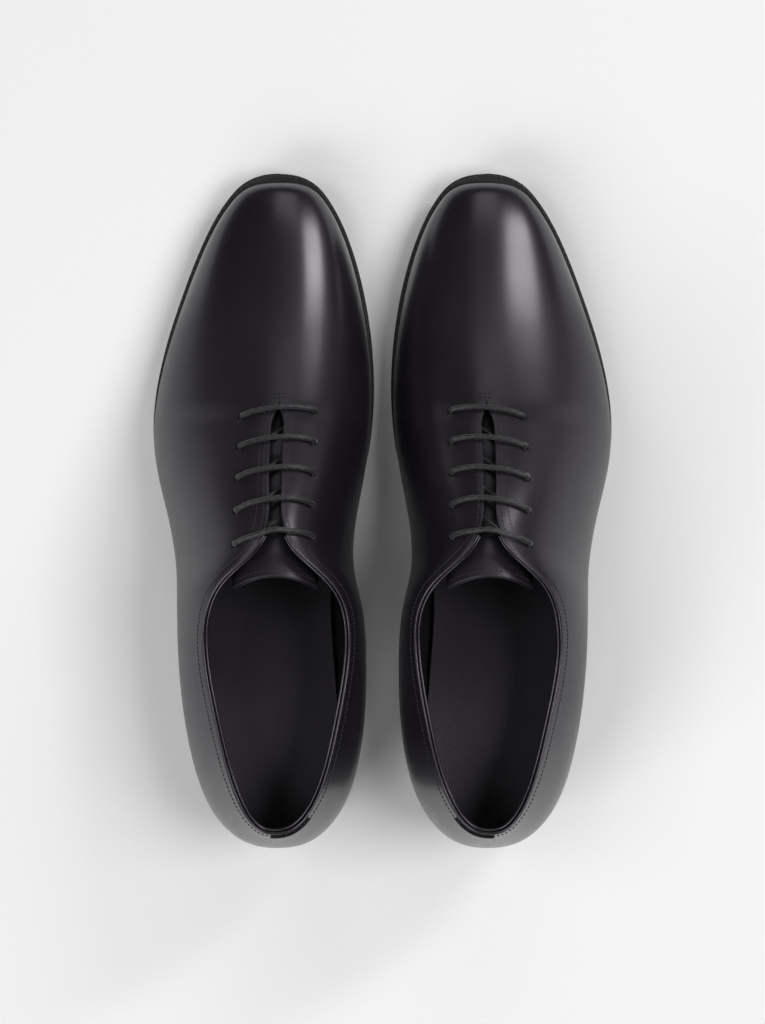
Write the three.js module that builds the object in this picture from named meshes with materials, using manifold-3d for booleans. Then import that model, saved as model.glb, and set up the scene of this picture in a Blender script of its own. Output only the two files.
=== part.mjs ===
// A pair of wholecut leather oxford shoes, each built as its real layers: heel stack, outsole, welt,
// insole, stiffeners, lining, upper, tongue and lace.
// Millimetres, +Z up, toes toward -Y. The origin is on the floor, midway between the two shoes.
//
// Inside one shoe a point is (x, s, z): x is positive toward the outer side of the foot, s runs from the
// back of the heel to the toe, and z is the height above the floor.
import * as THREE from "three";
import { mergeVertices } from "three/addons/utils/BufferGeometryUtils.js";
import Module from "manifold-3d";

const wasm = await Module();
wasm.setup();

// ---- Driving dimensions ------------------------------------------------------------------------
const LAST_LENGTH = 300.5; // heel seat to toe, at the feather edge
const LAST_WIDTH = 1; // factor on every width of the last
const LAST_HEIGHT = 1; // factor on every height of the upper above the feather edge
const SHOE_SPACING = 93.4; // between the two shoes' long axes
const HEEL_BACK_Y = LAST_LENGTH / 2 + 2.65; // where s = 0 lies, with the pair centred on the origin

const FIT = 0.3; // gap between two pieces that lie on each other
const UPPER_THICKNESS = 1.4;
const STIFFENER_THICKNESS = 1.0; // toe puff, heel counter and facing stays
const LINING_THICKNESS = 0.9;
const HEEL_TAB_THICKNESS = 0.9;
const BEAD_RADIUS = 1.2;

const HEEL_HEIGHT = 25;
const TOP_PIECE_THICKNESS = 6;
const LIFT_COUNT = 3;
const HEEL_BREAST = 62; // s of the heel's front face
const OUTSOLE_THICKNESS = 5;
const WELT_THICKNESS = 2.1;
const WELT_INNER_MARGIN = -6.5;
const RAND_OUTER_MARGIN = 0.6;
const INSOLE_THICKNESS = 2.8;
const SOCK_THICKNESS = 1.1;
const SHANK = { from: 66, to: 160, width: 15 };
const CORK = { from: 166, to: 290, margin: -7.4 };

const THROAT = 201; // s where the facings part
const FACING_GAP = 5.6; // between the two facing edges
const FACING_TOP = 141; // s where the topline turns into the facing
const TOE_PUFF_FROM = 262;
const COUNTER_TO = 74;

const EYELET_ROWS = 5;
const EYELET_OFFSET = { outer: [15.3, 17.2], inner: [16.4, 16.2] }; // from the centre line, first and last row
const BAR_SLANT = 1.7; // how far outer eyelets lie toward the heel, and inner ones toward the toe
const BAR_BOW = 0.5; // how far a bar's middle lies toward the toe of both its ends
const EYELET_RADIUS = 1.8;
const FIRST_EYELET = 196; // s of the row nearest the toe
const LAST_EYELET = 142.5;
const LACE_RADIUS = 1.1;
const LACE_CLEARANCE = 0.35;
const AGLET = { radius: 1.5, length: 20 };

const TONGUE_BASE = 207;
const TONGUE_END = 128;
const TONGUE_ARCH = 22.5; // radius of its cross-section
const TONGUE_HALF_WIDTH = { base: 14, end: 19 };
const TONGUE_SAG = 5.8; // how much deeper its free end lies, clear of the lace's end
const TONGUE_THICKNESS = 1.3;
const TONGUE_LINING_THICKNESS = 0.8;

// ---- The last ----------------------------------------------------------------------------------
// Each station gives the feather edge (s, outer x, inner x), the top edge (s, outer x, inner x, z) and
// the section's handles: how far it bulges out and up from the feather, how far its shoulder reaches
// out and down from the top, and the direction it faces in degrees (0 is straight out).
const STATIONS = [
  { feather: [4, 0, 0], top: [11, 0, 0, 58.5], bulge: [7, 14], shoulder: [6.5, 6.5, 26], aim: -90 },
  { feather: [4, 10.5, -10.5], top: [11, 5.5, -6, 58.5], bulge: [7, 14], shoulder: [7, 7, 26], aim: -82 },
  { feather: [10, 22, -20.5], top: [16, 12.5, -14, 56.9], bulge: [7, 14], shoulder: [9, 8.5, 26], aim: -48 },
  { feather: [27, 30.5, -29], top: [33, 20.5, -22.5, 52.2], bulge: [10, 14], shoulder: [13, 11, 26], aim: -16 },
  { feather: [52, 33, -31], top: [60, 27, -28.5, 49.6], bulge: [13, 13], shoulder: [17, 12, 24], aim: -4 },
  { feather: [78, 34, -29], top: [88, 33, -33.5, 54.9], bulge: [14, 13], shoulder: [15, 9, 24], aim: 0 },
  { feather: [100, 37, -27], top: [110, 31.5, -33, 65.5], bulge: [14, 14], shoulder: [14, 9, 20], aim: 0 },
  { feather: [118, 40, -27], top: [125, 22.5, -23, 76.9], bulge: [14, 16], shoulder: [18, 13, 12], aim: 0 },
  { feather: [133, 44, -29], top: [135, 4.5, -5.5, 84.3], bulge: [12, 20], shoulder: [23, 17, 6], aim: 0 },
  { feather: [148, 48, -32], top: [147, -0.9, 0.2, 84.3], bulge: [10, 24], shoulder: [26, 20, 2], aim: 0 },
  { feather: [163, 52, -35.5], top: [162, 0, 0, 78], bulge: [8, 26], shoulder: [28, 21, 0], aim: 0 },
  { feather: [180, 55, -38.5], top: [180, 0, 0, 66.6], bulge: [6, 25], shoulder: [30, 22, 0], aim: 0 },
  { feather: [201, 54.5, -40.5], top: [201, -1, -1, 53.3], bulge: [4, 24], shoulder: [30, 22, 0], aim: 0 },
  { feather: [225, 49, -39.3], top: [225, -2.5, -2.5, 42], bulge: [3, 21], shoulder: [28, 21, 0], aim: 0 },
  { feather: [250, 40.5, -35.5], top: [250, -3.5, -3.5, 32.6], bulge: [2.4, 17], shoulder: [24, 19, 0], aim: 0 },
  { feather: [274, 31, -28.5], top: [274, -2.5, -2.5, 22.9], bulge: [2, 13], shoulder: [18, 15, 0], aim: 0 },
  { feather: [292, 20.5, -19.5], top: [292, -1.2, -1.2, 13.9], bulge: [1.4, 9], shoulder: [11.5, 10.5, 0], aim: 0 },
  { feather: [300.5, 11, -11], top: [300.5, -0.5, -0.5, 7], bulge: [0.8, 4.5], shoulder: [6, 6, 0], aim: 0 },
  { feather: [300.5, 0, 0], top: [300.5, 0, 0, 0], bulge: [0, 0], shoulder: [0, 0, 0], aim: 0 },
];
const LENGTH_FACTOR = LAST_LENGTH / 300.5;

// The underside of the outsole, as (s, z): heel seat, waist, flat tread and toe spring.
const SOLE_PROFILE = [
  [0, HEEL_HEIGHT], [30, 0.984 * HEEL_HEIGHT], [62, 0.9 * HEEL_HEIGHT], [90, 0.62 * HEEL_HEIGHT],
  [118, 0.32 * HEEL_HEIGHT], [145, 0.12 * HEEL_HEIGHT], [172, 0], [200, 0],
  [226, 0], [252, 1.8], [278, 5.6], [306, 12],
];

// How far the sole's edge stands out from the feather edge, as (s, margin).
const SOLE_MARGIN = {
  outer: [[0, 1.2], [45, 1.2], [75, 0.2], [110, -0.5], [150, 1.5], [185, 3.4], [230, 4], [320, 4]],
  inner: [[0, 1.2], [45, 1], [75, -0.5], [105, -1.5], [140, 0], [180, 2.4], [230, 3.2], [320, 4]],
};
const OUTER = 1;
const INNER = -1;

/** Value at t in 0..1 of a clamped uniform cubic B-spline through rows of numbers. */
function bspline(rows, t) {
  const spans = rows.length - 3;
  const x = THREE.MathUtils.clamp(t, 0, 1) * spans;
  const span = Math.min(Math.floor(x), spans - 1);
  const knot = (i) => THREE.MathUtils.clamp(i - 3, 0, spans);
  let local = rows.slice(span, span + 4).map((row) => [...row]);
  for (let level = 1; level <= 3; level++)
    for (let j = 3; j >= level; j--) {
      const low = knot(span + j);
      const share = (x - low) / (knot(span + j + 4 - level) - low);
      local[j] = local[j].map((value, k) => (1 - share) * local[j - 1][k] + share * value);
    }
  return local[3];
}

/** Height of a curve given by (s, value) points at s, straight between its dense samples. */
function interpolate(points, s) {
  if (s <= points[0][0]) return points[0][1];
  for (let i = 1; i < points.length; i++) {
    const [s0, v0] = points[i - 1];
    const [s1, v1] = points[i];
    if (s <= s1) return v0 + ((v1 - v0) * (s - s0)) / Math.max(s1 - s0, 1e-9);
  }
  return points[points.length - 1][1];
}

const PROFILE_SAMPLES = Array.from({ length: 401 }, (_, i) => bspline(
  SOLE_PROFILE.map(([s, z]) => [s * LENGTH_FACTOR, z]), i / 400));
const soleBottom = (s) => interpolate(PROFILE_SAMPLES, s);
const WELT_BASE = OUTSOLE_THICKNESS + FIT; // above the sole's underside
const FEATHER_RISE = WELT_BASE + WELT_THICKNESS + FIT;
const featherHeight = (s) => soleBottom(s) + FEATHER_RISE;

/** Where rows of numbers from the stations stand at u, from the back seam (0) to the toe tip (1). */
function blendStations(u, side) {
  const k = side === OUTER ? 1 : 2;
  const rows = STATIONS.map(({ feather, top, bulge, shoulder, aim }) => [
    feather[0], feather[k], top[0], top[k], top[3], bulge[0], bulge[1], shoulder[k - 1], shoulder[2], aim,
  ]);
  const [fs, fx, ts, tx, rise, out, up, reach, down, aimAt] = bspline(rows, u);
  return {
    feather: { x: fx * LAST_WIDTH, s: fs * LENGTH_FACTOR },
    top: { x: tx * LAST_WIDTH, s: ts * LENGTH_FACTOR, rise: rise * LAST_HEIGHT },
    out: out * LAST_WIDTH,
    up: up * LAST_HEIGHT,
    reach: reach * LAST_WIDTH,
    down: down * LAST_HEIGHT,
    aim: THREE.MathUtils.degToRad(aimAt),
  };
}

/** The u whose value of a rising function is the target. */
function solve(value, target, low = 0, high = 1) {
  for (let i = 0; i < 40; i++) {
    const middle = (low + high) / 2;
    if (value(middle) < target) low = middle;
    else high = middle;
  }
  return (low + high) / 2;
}

const topStation = (u) => blendStations(u, OUTER).top.s / LENGTH_FACTOR;
const featherStation = (u) => blendStations(u, OUTER).feather.s / LENGTH_FACTOR;
const U_THROAT = solve(topStation, THROAT);
const U_FACING_TOP = solve(topStation, FACING_TOP);
const U_PUFF = solve(featherStation, TOE_PUFF_FROM);
const U_COUNTER = solve(featherStation, COUNTER_TO);
const U_BREAST = solve(featherStation, HEEL_BREAST);

/** A point of the shoe's own frame as a vector of the pair's frame. */
const place = (x, s, z) => new THREE.Vector3(x, HEEL_BACK_Y - s, z);

/** How far the facings stand apart at u: nothing at the throat and back along the topline. */
function facingGap(u) {
  const { smoothstep } = THREE.MathUtils;
  return FACING_GAP * smoothstep(-u, -U_THROAT, -U_THROAT + 0.035) * smoothstep(u, U_FACING_TOP - 0.1, U_FACING_TOP);
}

/** Point of the upper's outer face at u along the shoe and v from feather edge (0) to top edge (1). */
function lastPoint(u, v, side) {
  const { feather, top, out, up, reach, down, aim } = blendStations(u, side);
  const opened = facingGap(u) / 2;
  const dx = Math.cos(aim) * side;
  const ds = Math.sin(aim);
  const topX = top.x + side * opened;
  const start = place(feather.x, feather.s, featherHeight(feather.s));
  const end = place(topX, top.s, featherHeight(top.s) + top.rise);
  const lower = start.clone().add(new THREE.Vector3(dx * out, -ds * out, up));
  const upper = end.clone().add(new THREE.Vector3(dx * reach, -ds * reach, -down));
  return new THREE.CubicBezierCurve3(start, lower, upper, end).getPoint(v);
}

// ---- Building closed solids --------------------------------------------------------------------
/** Welded buffer geometry from vertices and triangles, with its faces turned out. */
function solidGeometry(vertices, triangles) {
  let volume = 0;
  for (const [a, b, c] of triangles)
    volume += vertices[a].dot(new THREE.Vector3().crossVectors(vertices[b], vertices[c]));
  const order = volume < 0 ? triangles.map(([a, b, c]) => [a, c, b]) : triangles;
  const geometry = new THREE.BufferGeometry();
  geometry.setAttribute("position", new THREE.Float32BufferAttribute(vertices.flatMap((p) => p.toArray()), 3));
  geometry.setIndex(order.flat());
  return geometry;
}

/** A sheet of welded points with the triangles of its outer face. */
class Sheet {
  constructor() {
    this.points = [];
    this.tags = [];
    this.triangles = [];
    this.known = new Map();
  }

  /** Index of a point, shared by everything that meets there; the tag says where it lies on the sheet. */
  add(point, tag) {
    const key = point.toArray().map((value) => Math.round(value * 1e3)).join(",");
    if (!this.known.has(key)) {
      this.known.set(key, this.points.length);
      this.points.push(point);
      this.tags.push(tag);
    }
    return this.known.get(key);
  }

  /** Adds a quad as two triangles, leaving out whatever has shrunk to a line. */
  quad(a, b, c, d) {
    for (const corner of [[a, b, c], [a, c, d]])
      if (new Set(corner).size === 3) this.triangles.push(corner);
  }

  /** Unit normals of the outer face at the points. */
  normals() {
    const sums = this.points.map(() => new THREE.Vector3());
    for (const [a, b, c] of this.triangles) {
      const [p, q, r] = [this.points[a], this.points[b], this.points[c]];
      const face = new THREE.Vector3().crossVectors(q.clone().sub(p), r.clone().sub(p));
      for (const corner of [a, b, c]) sums[corner].add(face);
    }
    return sums.map((sum) => sum.normalize());
  }

  /** Closed solid between two offsets from the outer face, each a function of a point's tag. */
  thicken(outerOffset, innerOffset) {
    const normals = this.normals();
    const count = this.points.length;
    const shifted = (offset) => this.points.map((p, i) => p.clone().addScaledVector(normals[i], offset(this.tags[i])));
    const vertices = [...shifted(outerOffset), ...shifted(innerOffset)];
    const triangles = [];
    const edges = new Map();
    for (const [a, b, c] of this.triangles) {
      triangles.push([a, b, c], [a + count, c + count, b + count]);
      for (const [p, q] of [[a, b], [b, c], [c, a]]) edges.set(`${p},${q}`, [p, q]);
    }
    for (const [p, q] of edges.values())
      if (!edges.has(`${q},${p}`)) triangles.push([q, p, p + count], [q, p + count, q + count]);
    return solidGeometry(vertices, triangles);
  }
}

/** Solid through a row of closed sections with equally many points, capped at both ends. */
function loft(sections) {
  const size = sections[0].length;
  const triangles = [];
  for (let i = 0; i + 1 < sections.length; i++)
    for (let j = 0; j < size; j++) {
      const a = i * size + j;
      const b = i * size + ((j + 1) % size);
      triangles.push([a, b, b + size], [a, b + size, a + size]);
    }
  const last = (sections.length - 1) * size;
  for (let j = 1; j + 1 < size; j++) triangles.push([0, j + 1, j], [last, last + j, last + j + 1]);
  return solidGeometry(sections.flat(), triangles);
}

// ---- The last's grid, shared by every layer that follows it ------------------------------------
const ROWS_AT = [
  ...[0, 0.25, 0.5, 0.75].map((t) => t * U_COUNTER * 0.75), 0.87 * U_COUNTER, U_COUNTER,
  ...[1, 2, 3, 4, 5, 6].map((i) => THREE.MathUtils.lerp(U_COUNTER, U_FACING_TOP, i / 6)),
  ...[1, 2, 3, 4].map((i) => THREE.MathUtils.lerp(U_FACING_TOP, U_THROAT, i / 4)),
  ...[1, 2, 3, 4].map((i) => THREE.MathUtils.lerp(U_THROAT, U_PUFF, i / 4)),
  ...[0.25, 0.5, 0.7, 0.85, 0.94, 1].map((t) => THREE.MathUtils.lerp(U_PUFF, 1, t)),
];
const COLUMNS_AT = [0, 0.15, 0.35, 0.56, 0.74, 0.88, 1];

/** Part of the last between two u and two v, as a sheet; sides is a list of OUTER and INNER. */
function lastSheet({ from = 0, to = 1, low = 0, high = 1, sides = [OUTER, INNER] }) {
  const inside = (values, a, b) => values.filter((value) => value >= a - 1e-6 && value <= b + 1e-6);
  const rows = inside(ROWS_AT, from, to);
  const columns = inside(COLUMNS_AT, low, high);
  const sheet = new Sheet();
  for (const side of sides) {
    const grid = rows.map((u) => columns.map((v) => sheet.add(lastPoint(u, v, side), { u, v, side })));
    for (let i = 0; i + 1 < rows.length; i++)
      for (let j = 0; j + 1 < columns.length; j++) {
        const corners = [grid[i][j], grid[i + 1][j], grid[i + 1][j + 1], grid[i][j + 1]];
        if (side === OUTER) corners.reverse();
        sheet.quad(...corners);
      }
  }
  return sheet;
}

const COUNTER_TOP = 0.74;
const STAY = { from: U_FACING_TOP, to: U_THROAT, low: 0.74, high: 0.88 };
const STIFFENER_OFFSET = -(UPPER_THICKNESS + FIT);
const isStiffened = ({ u, v }) =>
  u >= U_PUFF - 1e-6 ||
  (u <= U_COUNTER + 1e-6 && v <= COUNTER_TOP + 1e-6) ||
  (u >= STAY.from - 1e-6 && u <= STAY.to + 1e-6 && v >= STAY.low - 1e-6 && v <= STAY.high + 1e-6);
const liningOffset = (tag) => STIFFENER_OFFSET - (isStiffened(tag) ? STIFFENER_THICKNESS + FIT : 0);
const WALL_THICKNESS = -STIFFENER_OFFSET + STIFFENER_THICKNESS + FIT + LINING_THICKNESS;
const THIN_WALL_THICKNESS = -STIFFENER_OFFSET + LINING_THICKNESS;

// ---- Sole outlines -----------------------------------------------------------------------------
/** Point of the feather edge at u, moved outward in plan by a margin, as (x, s). */
function edgePoint(u, side, margin) {
  const step = 1e-3;
  const here = blendStations(u, side).feather;
  const before = blendStations(Math.max(u - step, 0), side).feather;
  const after = blendStations(Math.min(u + step, 1), side).feather;
  const along = new THREE.Vector2(after.x - before.x, after.s - before.s).normalize();
  return { x: here.x + side * along.y * margin, s: here.s - side * along.x * margin };
}

const soleMargin = (u, side) => interpolate(
  side === OUTER ? SOLE_MARGIN.outer : SOLE_MARGIN.inner, featherStation(u));

/** Margin of the shoe's inner wall at the feather edge, less a clearance. */
function wallMargin(u, side, clearance) {
  const { out, up } = blendStations(Math.min(u, 0.97), side);
  return -WALL_THICKNESS * Math.cos(Math.atan2(out, up)) - clearance;
}

/**
 * A sole layer: everything inside an outline, between two heights above the sole's underside.
 * margin is a function of u and side, and bottom and top are functions of s.
 */
function slab({ margin, bottom, top, from = -Infinity, to = Infinity, rows = 30 }) {
  const outline = [OUTER, INNER].map((side) =>
    Array.from({ length: 301 }, (_, i) => edgePoint(i / 300, side, margin(i / 300, side))));
  const stations = outline.flat().map((point) => point.s);
  const start = Math.max(from, Math.min(...stations) + 0.05);
  const end = Math.min(to, Math.max(...stations) - 0.05);
  const edgeAt = (points, s, side) => {
    let widest = 0;
    for (let i = 1; i < points.length; i++) {
      const [p, q] = [points[i - 1], points[i]];
      if ((s - p.s) * (s - q.s) > 0 || p.s === q.s) continue;
      const x = p.x + ((q.x - p.x) * (s - p.s)) / (q.s - p.s);
      if (x * side > widest * side) widest = x;
    }
    return widest;
  };
  // Rows lie closest together where the outline is round: at the heel, and at the toe unless it is cut.
  const turn = to === Infinity ? Math.PI : Math.PI / 2;
  const sections = Array.from({ length: rows + 1 }, (_, i) => {
    const share = (1 - Math.cos((turn * i) / rows)) / (1 - Math.cos(turn));
    const s = THREE.MathUtils.lerp(start, end, share);
    const [right, left] = [edgeAt(outline[0], s, OUTER), edgeAt(outline[1], s, INNER)];
    return [place(left, s, bottom(s)), place(right, s, bottom(s)), place(right, s, top(s)), place(left, s, top(s))];
  });
  return loft(sections);
}

/** A strip that follows the feather edge between two margins, from one end of a list of (u, side). */
function edgeStrip(path, innerMargin, outerMargin, bottom, top) {
  return loft(path.map(({ u, side }) => {
    const inner = edgePoint(u, side, innerMargin);
    const outer = edgePoint(u, side, outerMargin(u, side));
    return [
      place(inner.x, inner.s, soleBottom(inner.s) + bottom),
      place(outer.x, outer.s, soleBottom(outer.s) + bottom),
      place(outer.x, outer.s, soleBottom(outer.s) + top),
      place(inner.x, inner.s, soleBottom(inner.s) + top),
    ];
  }));
}

// ---- The instep: where the lace and the tongue lie ---------------------------------------------
// Beyond the facings' top the line goes on up the instep, as (s, z above the feather edge).
const INSTEP_BEYOND = [[138, 87.2], [124, 90.2], [116, 91.2]];
const INSTEP_LINE = new THREE.CatmullRomCurve3(
  [0.55, 0.45, 0.34, 0.23, 0.12, 0].map((back) => {
    const u = THREE.MathUtils.lerp(U_THROAT + 0.045, solve(topStation, 148), 1 - back / 0.55);
    const { top } = blendStations(u, OUTER);
    return place(0, top.s, featherHeight(top.s) + top.rise);
  }).concat(INSTEP_BEYOND.map(([s, rise]) =>
    place(0, s * LENGTH_FACTOR, featherHeight(s * LENGTH_FACTOR) + rise * LAST_HEIGHT))));

/** Place of the instep line at a station s, with its direction up the leg and its outward normal. */
function instepFrame(s) {
  const y = HEEL_BACK_Y - s * LENGTH_FACTOR;
  const t = solve((t) => INSTEP_LINE.getPoint(t).y, y);
  const along = INSTEP_LINE.getTangent(t);
  return { centre: INSTEP_LINE.getPoint(t), along, normal: new THREE.Vector3(0, -along.z, along.y) };
}

/** Point and outward normal of the last where the plane across the instep at s meets a width x. */
function instepPoint(s, x) {
  const { centre, along, normal } = instepFrame(s);
  const side = x < 0 ? INNER : OUTER;
  if (Math.abs(x) < FACING_GAP / 2 + 1) return { point: centre.clone().setX(x), normal };
  const across = (u) => solve((v) => side * lastPoint(u, 1 - v, side).x, Math.abs(x), 0, 0.6);
  const u = solve((u) => -lastPoint(u, 1 - across(u), side).sub(centre).dot(along), 0, 0.3, 0.8);
  const v = 1 - across(u);
  const step = 0.01;
  const point = lastPoint(u, v, side);
  const du = lastPoint(u + step, v, side).sub(lastPoint(u - step, v, side));
  const dv = lastPoint(u, v + step, side).sub(lastPoint(u, v - step, side));
  const out = new THREE.Vector3().crossVectors(dv, du).multiplyScalar(side).normalize();
  return { point, normal: out };
}

/** The same point at a distance outward (positive) or inward from the upper's outer face. */
function offInstep(s, x, distance) {
  const { point, normal } = instepPoint(s, x);
  return point.addScaledVector(normal, distance);
}

/** Place on the instep of a row's bar, at a share of the way from its middle to an eyelet, outer positive. */
function barPlace(row, share) {
  const along = row / (EYELET_ROWS - 1);
  const [first, last] = share < 0 ? EYELET_OFFSET.inner : EYELET_OFFSET.outer;
  const s = THREE.MathUtils.lerp(FIRST_EYELET, LAST_EYELET, along) - BAR_SLANT * share - BAR_BOW * share * share;
  return { s, x: share * THREE.MathUtils.lerp(first, last, along) };
}
const ROWS = Array.from({ length: EYELET_ROWS }, (_, i) => i);

// ---- Cords -------------------------------------------------------------------------------------
/** A route through chosen points that a tube follows point by point, however far apart they are. */
class Route extends THREE.Curve {
  constructor(points) {
    super();
    this.points = points;
  }

  getPoint(t) {
    const place = t * (this.points.length - 1);
    const index = Math.min(Math.floor(place), this.points.length - 2);
    return this.points[index].clone().lerp(this.points[index + 1], place - index);
  }

  getPointAt(t) {
    return this.getPoint(t);
  }

  getTangentAt(t) {
    const index = Math.round(t * (this.points.length - 1));
    const before = this.points[Math.max(index - 1, 0)];
    const after = this.points[Math.min(index + 1, this.points.length - 1)];
    return after.clone().sub(before).normalize();
  }

  getSpacedPoints(divisions) {
    return Array.from({ length: divisions + 1 }, (_, i) => this.getPoint(i / divisions));
  }
}

/** Round tube along a route, with one ring at each of its points. */
function tube(points, radius, sides) {
  const ring = Array.from({ length: sides }, (_, i) => {
    const angle = (2 * Math.PI * i) / sides;
    return new THREE.Vector2(radius * Math.cos(angle), radius * Math.sin(angle));
  });
  return new THREE.ExtrudeGeometry(new THREE.Shape(ring), {
    steps: points.length - 1, extrudePath: new Route(points), bevelEnabled: false,
  });
}

/** Points at equal steps along a smooth curve through chosen ones. */
function smooth(points, step) {
  const curve = new THREE.CatmullRomCurve3(points, false, "centripetal");
  return curve.getSpacedPoints(Math.max(2, Math.round(curve.getLength() / step)));
}

const LACE_OVER = LACE_RADIUS + LACE_CLEARANCE; // lace centre above the upper
const LACE_UNDER = -(WALL_THICKNESS + LACE_CLEARANCE + LACE_RADIUS); // and below the lining
const LACE_TURN = 1.5; // radius at which the lace bends into an eyelet

/** Points of the lace through one eyelet, from inside the shoe to the start of its bar. */
function throughEyelet(row, side) {
  const { s, x } = barPlace(row, side);
  const { point, normal } = instepPoint(s, x);
  const inward = offInstep(s, x - side * LACE_TURN, 0).sub(point).normalize();
  const at = (out, across) => point.clone().addScaledVector(normal, out).addScaledVector(inward, across);
  return [
    at(LACE_UNDER + 0.2, 0), at(LACE_OVER - LACE_TURN, 0),
    at(LACE_OVER - 0.3 * LACE_TURN, 0.3 * LACE_TURN), at(LACE_OVER, LACE_TURN),
  ];
}

/** One bar of the lace across the facings, from the outer eyelet to the inner one. */
function laceBar(row) {
  const over = [0.7, 0.38, 0, -0.38, -0.7].map((share) => {
    const { s, x } = barPlace(row, share);
    return offInstep(s, x, LACE_OVER + 0.5 * (1 - share * share));
  });
  return [...throughEyelet(row, OUTER), ...over, ...throughEyelet(row, INNER).reverse()];
}

/** The lace's way under the facings from one row's inner eyelet to the next row's outer one. */
function laceDiagonal(row) {
  const [start, end] = [barPlace(row, INNER), barPlace(row + 1, OUTER)];
  return [0.125, 0.35, 0.65, 0.875].map((share) => offInstep(
    THREE.MathUtils.lerp(start.s, end.s, share), THREE.MathUtils.lerp(start.x, end.x, share), LACE_UNDER - FIT));
}

// The lace's two free ends, as (x, s, z): each comes out under its end eyelet, goes outboard round the
// tongue's edge, down the lining and forward along the sock lining.
const TAIL_FRONT = [
  [13.8, 189.7, 59.7], [13.5, 189.1, 58.8], [14.4, 187.5, 55.5], [20, 186.2, 53.1], [26.5, 185.6, 51.5],
  [33, 185.3, 47.2], [38.5, 185.3, 40.7], [43, 185.6, 33], [45.6, 186.5, 25], [45.8, 189.5, 18.5],
  [43.5, 195.5, 14.4], [40, 204, 13.5], [35.5, 215, 13.6], [31, 228, 14], [27.5, 241, 14.8],
  [24, 253, 16], [17, 261, 17], [8, 263.5, 17.4], [0.5, 258.5, 17.1], [-2.5, 249, 16.3],
];
const TAIL_REAR = [
  [-12.1, 138.2, 85.2], [-11.4, 137.9, 84.6], [-11.9, 136.6, 82.8], [-16, 135.3, 80.6], [-18.9, 135.2, 76.7],
  [-21.3, 135.3, 70.5], [-23.8, 135.3, 62.5], [-26.1, 135.3, 52.5], [-27.4, 135.6, 42], [-27.6, 136.8, 32],
  [-26.8, 140, 24], [-26.3, 148, 17.6], [-28, 160, 15.1], [-30.5, 174, 14], [-32, 188, 13.5],
  [-32, 202, 13.5], [-30.5, 216, 13.6], [-27.5, 230, 14.2], [-24, 242, 15.5], [-21, 251, 16.9],
];

/** One free end of the lace and its aglet, as two geometries. */
function laceTail(route) {
  const [start, ...rest] = route.map(([x, s, z]) => place(x, s, z));
  const points = [start, ...smooth(rest, 3 * 2 * LACE_RADIUS)];
  const end = points[points.length - 1];
  const along = end.clone().sub(points[points.length - 2]).normalize();
  const from = end.clone().addScaledVector(along, FIT);
  const to = from.clone().addScaledVector(along, AGLET.length);
  return [tube(points, LACE_RADIUS, 8), tube([from, to], AGLET.radius, 8)];
}

/** The whole stretch of lace that the eyelets hold. */
function heldLace() {
  return ROWS.flatMap((row) => [...(row > 0 ? laceDiagonal(row - 1) : []), ...laceBar(row)]);
}

// ---- Pieces ------------------------------------------------------------------------------------
/** A closed geometry as a manifold solid. */
function toSolid(geometry) {
  const bare = geometry.clone();
  bare.deleteAttribute("normal");
  bare.deleteAttribute("uv");
  const merged = mergeVertices(bare, 1e-4);
  return new wasm.Manifold(new wasm.Mesh({
    numProp: 3,
    vertProperties: new Float32Array(merged.attributes.position.array),
    triVerts: new Uint32Array(merged.index.array),
  }));
}

/** A manifold solid as a geometry. */
function toGeometry(solid) {
  const { vertProperties, triVerts } = solid.getMesh();
  const geometry = new THREE.BufferGeometry();
  geometry.setAttribute("position", new THREE.Float32BufferAttribute(vertProperties, 3));
  geometry.setIndex(new THREE.BufferAttribute(triVerts, 1));
  return geometry;
}

/** Punches the eyelet holes through a layer of the facings. */
function punched(geometry, sides = [OUTER, INNER]) {
  let solid = toSolid(geometry);
  for (const row of ROWS)
    for (const side of sides) {
      const { s, x } = barPlace(row, side);
      const { point, normal } = instepPoint(s, x);
      const pin = new THREE.CylinderGeometry(EYELET_RADIUS, EYELET_RADIUS, 3 * WALL_THICKNESS, 6);
      pin.applyQuaternion(new THREE.Quaternion().setFromUnitVectors(new THREE.Vector3(0, 1, 0), normal));
      pin.translate(...point.addScaledVector(normal, -WALL_THICKNESS / 2).toArray());
      solid = solid.subtract(toSolid(pin));
    }
  return toGeometry(solid);
}

/** The rolled bead round the topline, from one facing's top corner round the heel to the other. */
function bead() {
  const rows = ROWS_AT.filter((u) => u <= U_FACING_TOP + 1e-6);
  const ring = (u, side) => {
    const top = lastPoint(u, 1, side);
    const inSheet = top.clone().sub(lastPoint(u, 0.96, side)).normalize();
    const along = lastPoint(u + 0.004, 1, side).sub(lastPoint(Math.max(u - 0.004, 0), 1, side)).normalize();
    const out = new THREE.Vector3().crossVectors(inSheet, along).multiplyScalar(side).normalize();
    const beyond = new THREE.Vector3().crossVectors(along, out).multiplyScalar(side).normalize();
    return top.addScaledVector(beyond, BEAD_RADIUS + 2 * FIT).addScaledVector(out, -THIN_WALL_THICKNESS / 2);
  };
  const outer = rows.map((u) => ring(u, OUTER));
  const inner = rows.slice(1).map((u) => ring(u, INNER));
  return tube([...outer.reverse(), ...inner], BEAD_RADIUS, 8);
}

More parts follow.
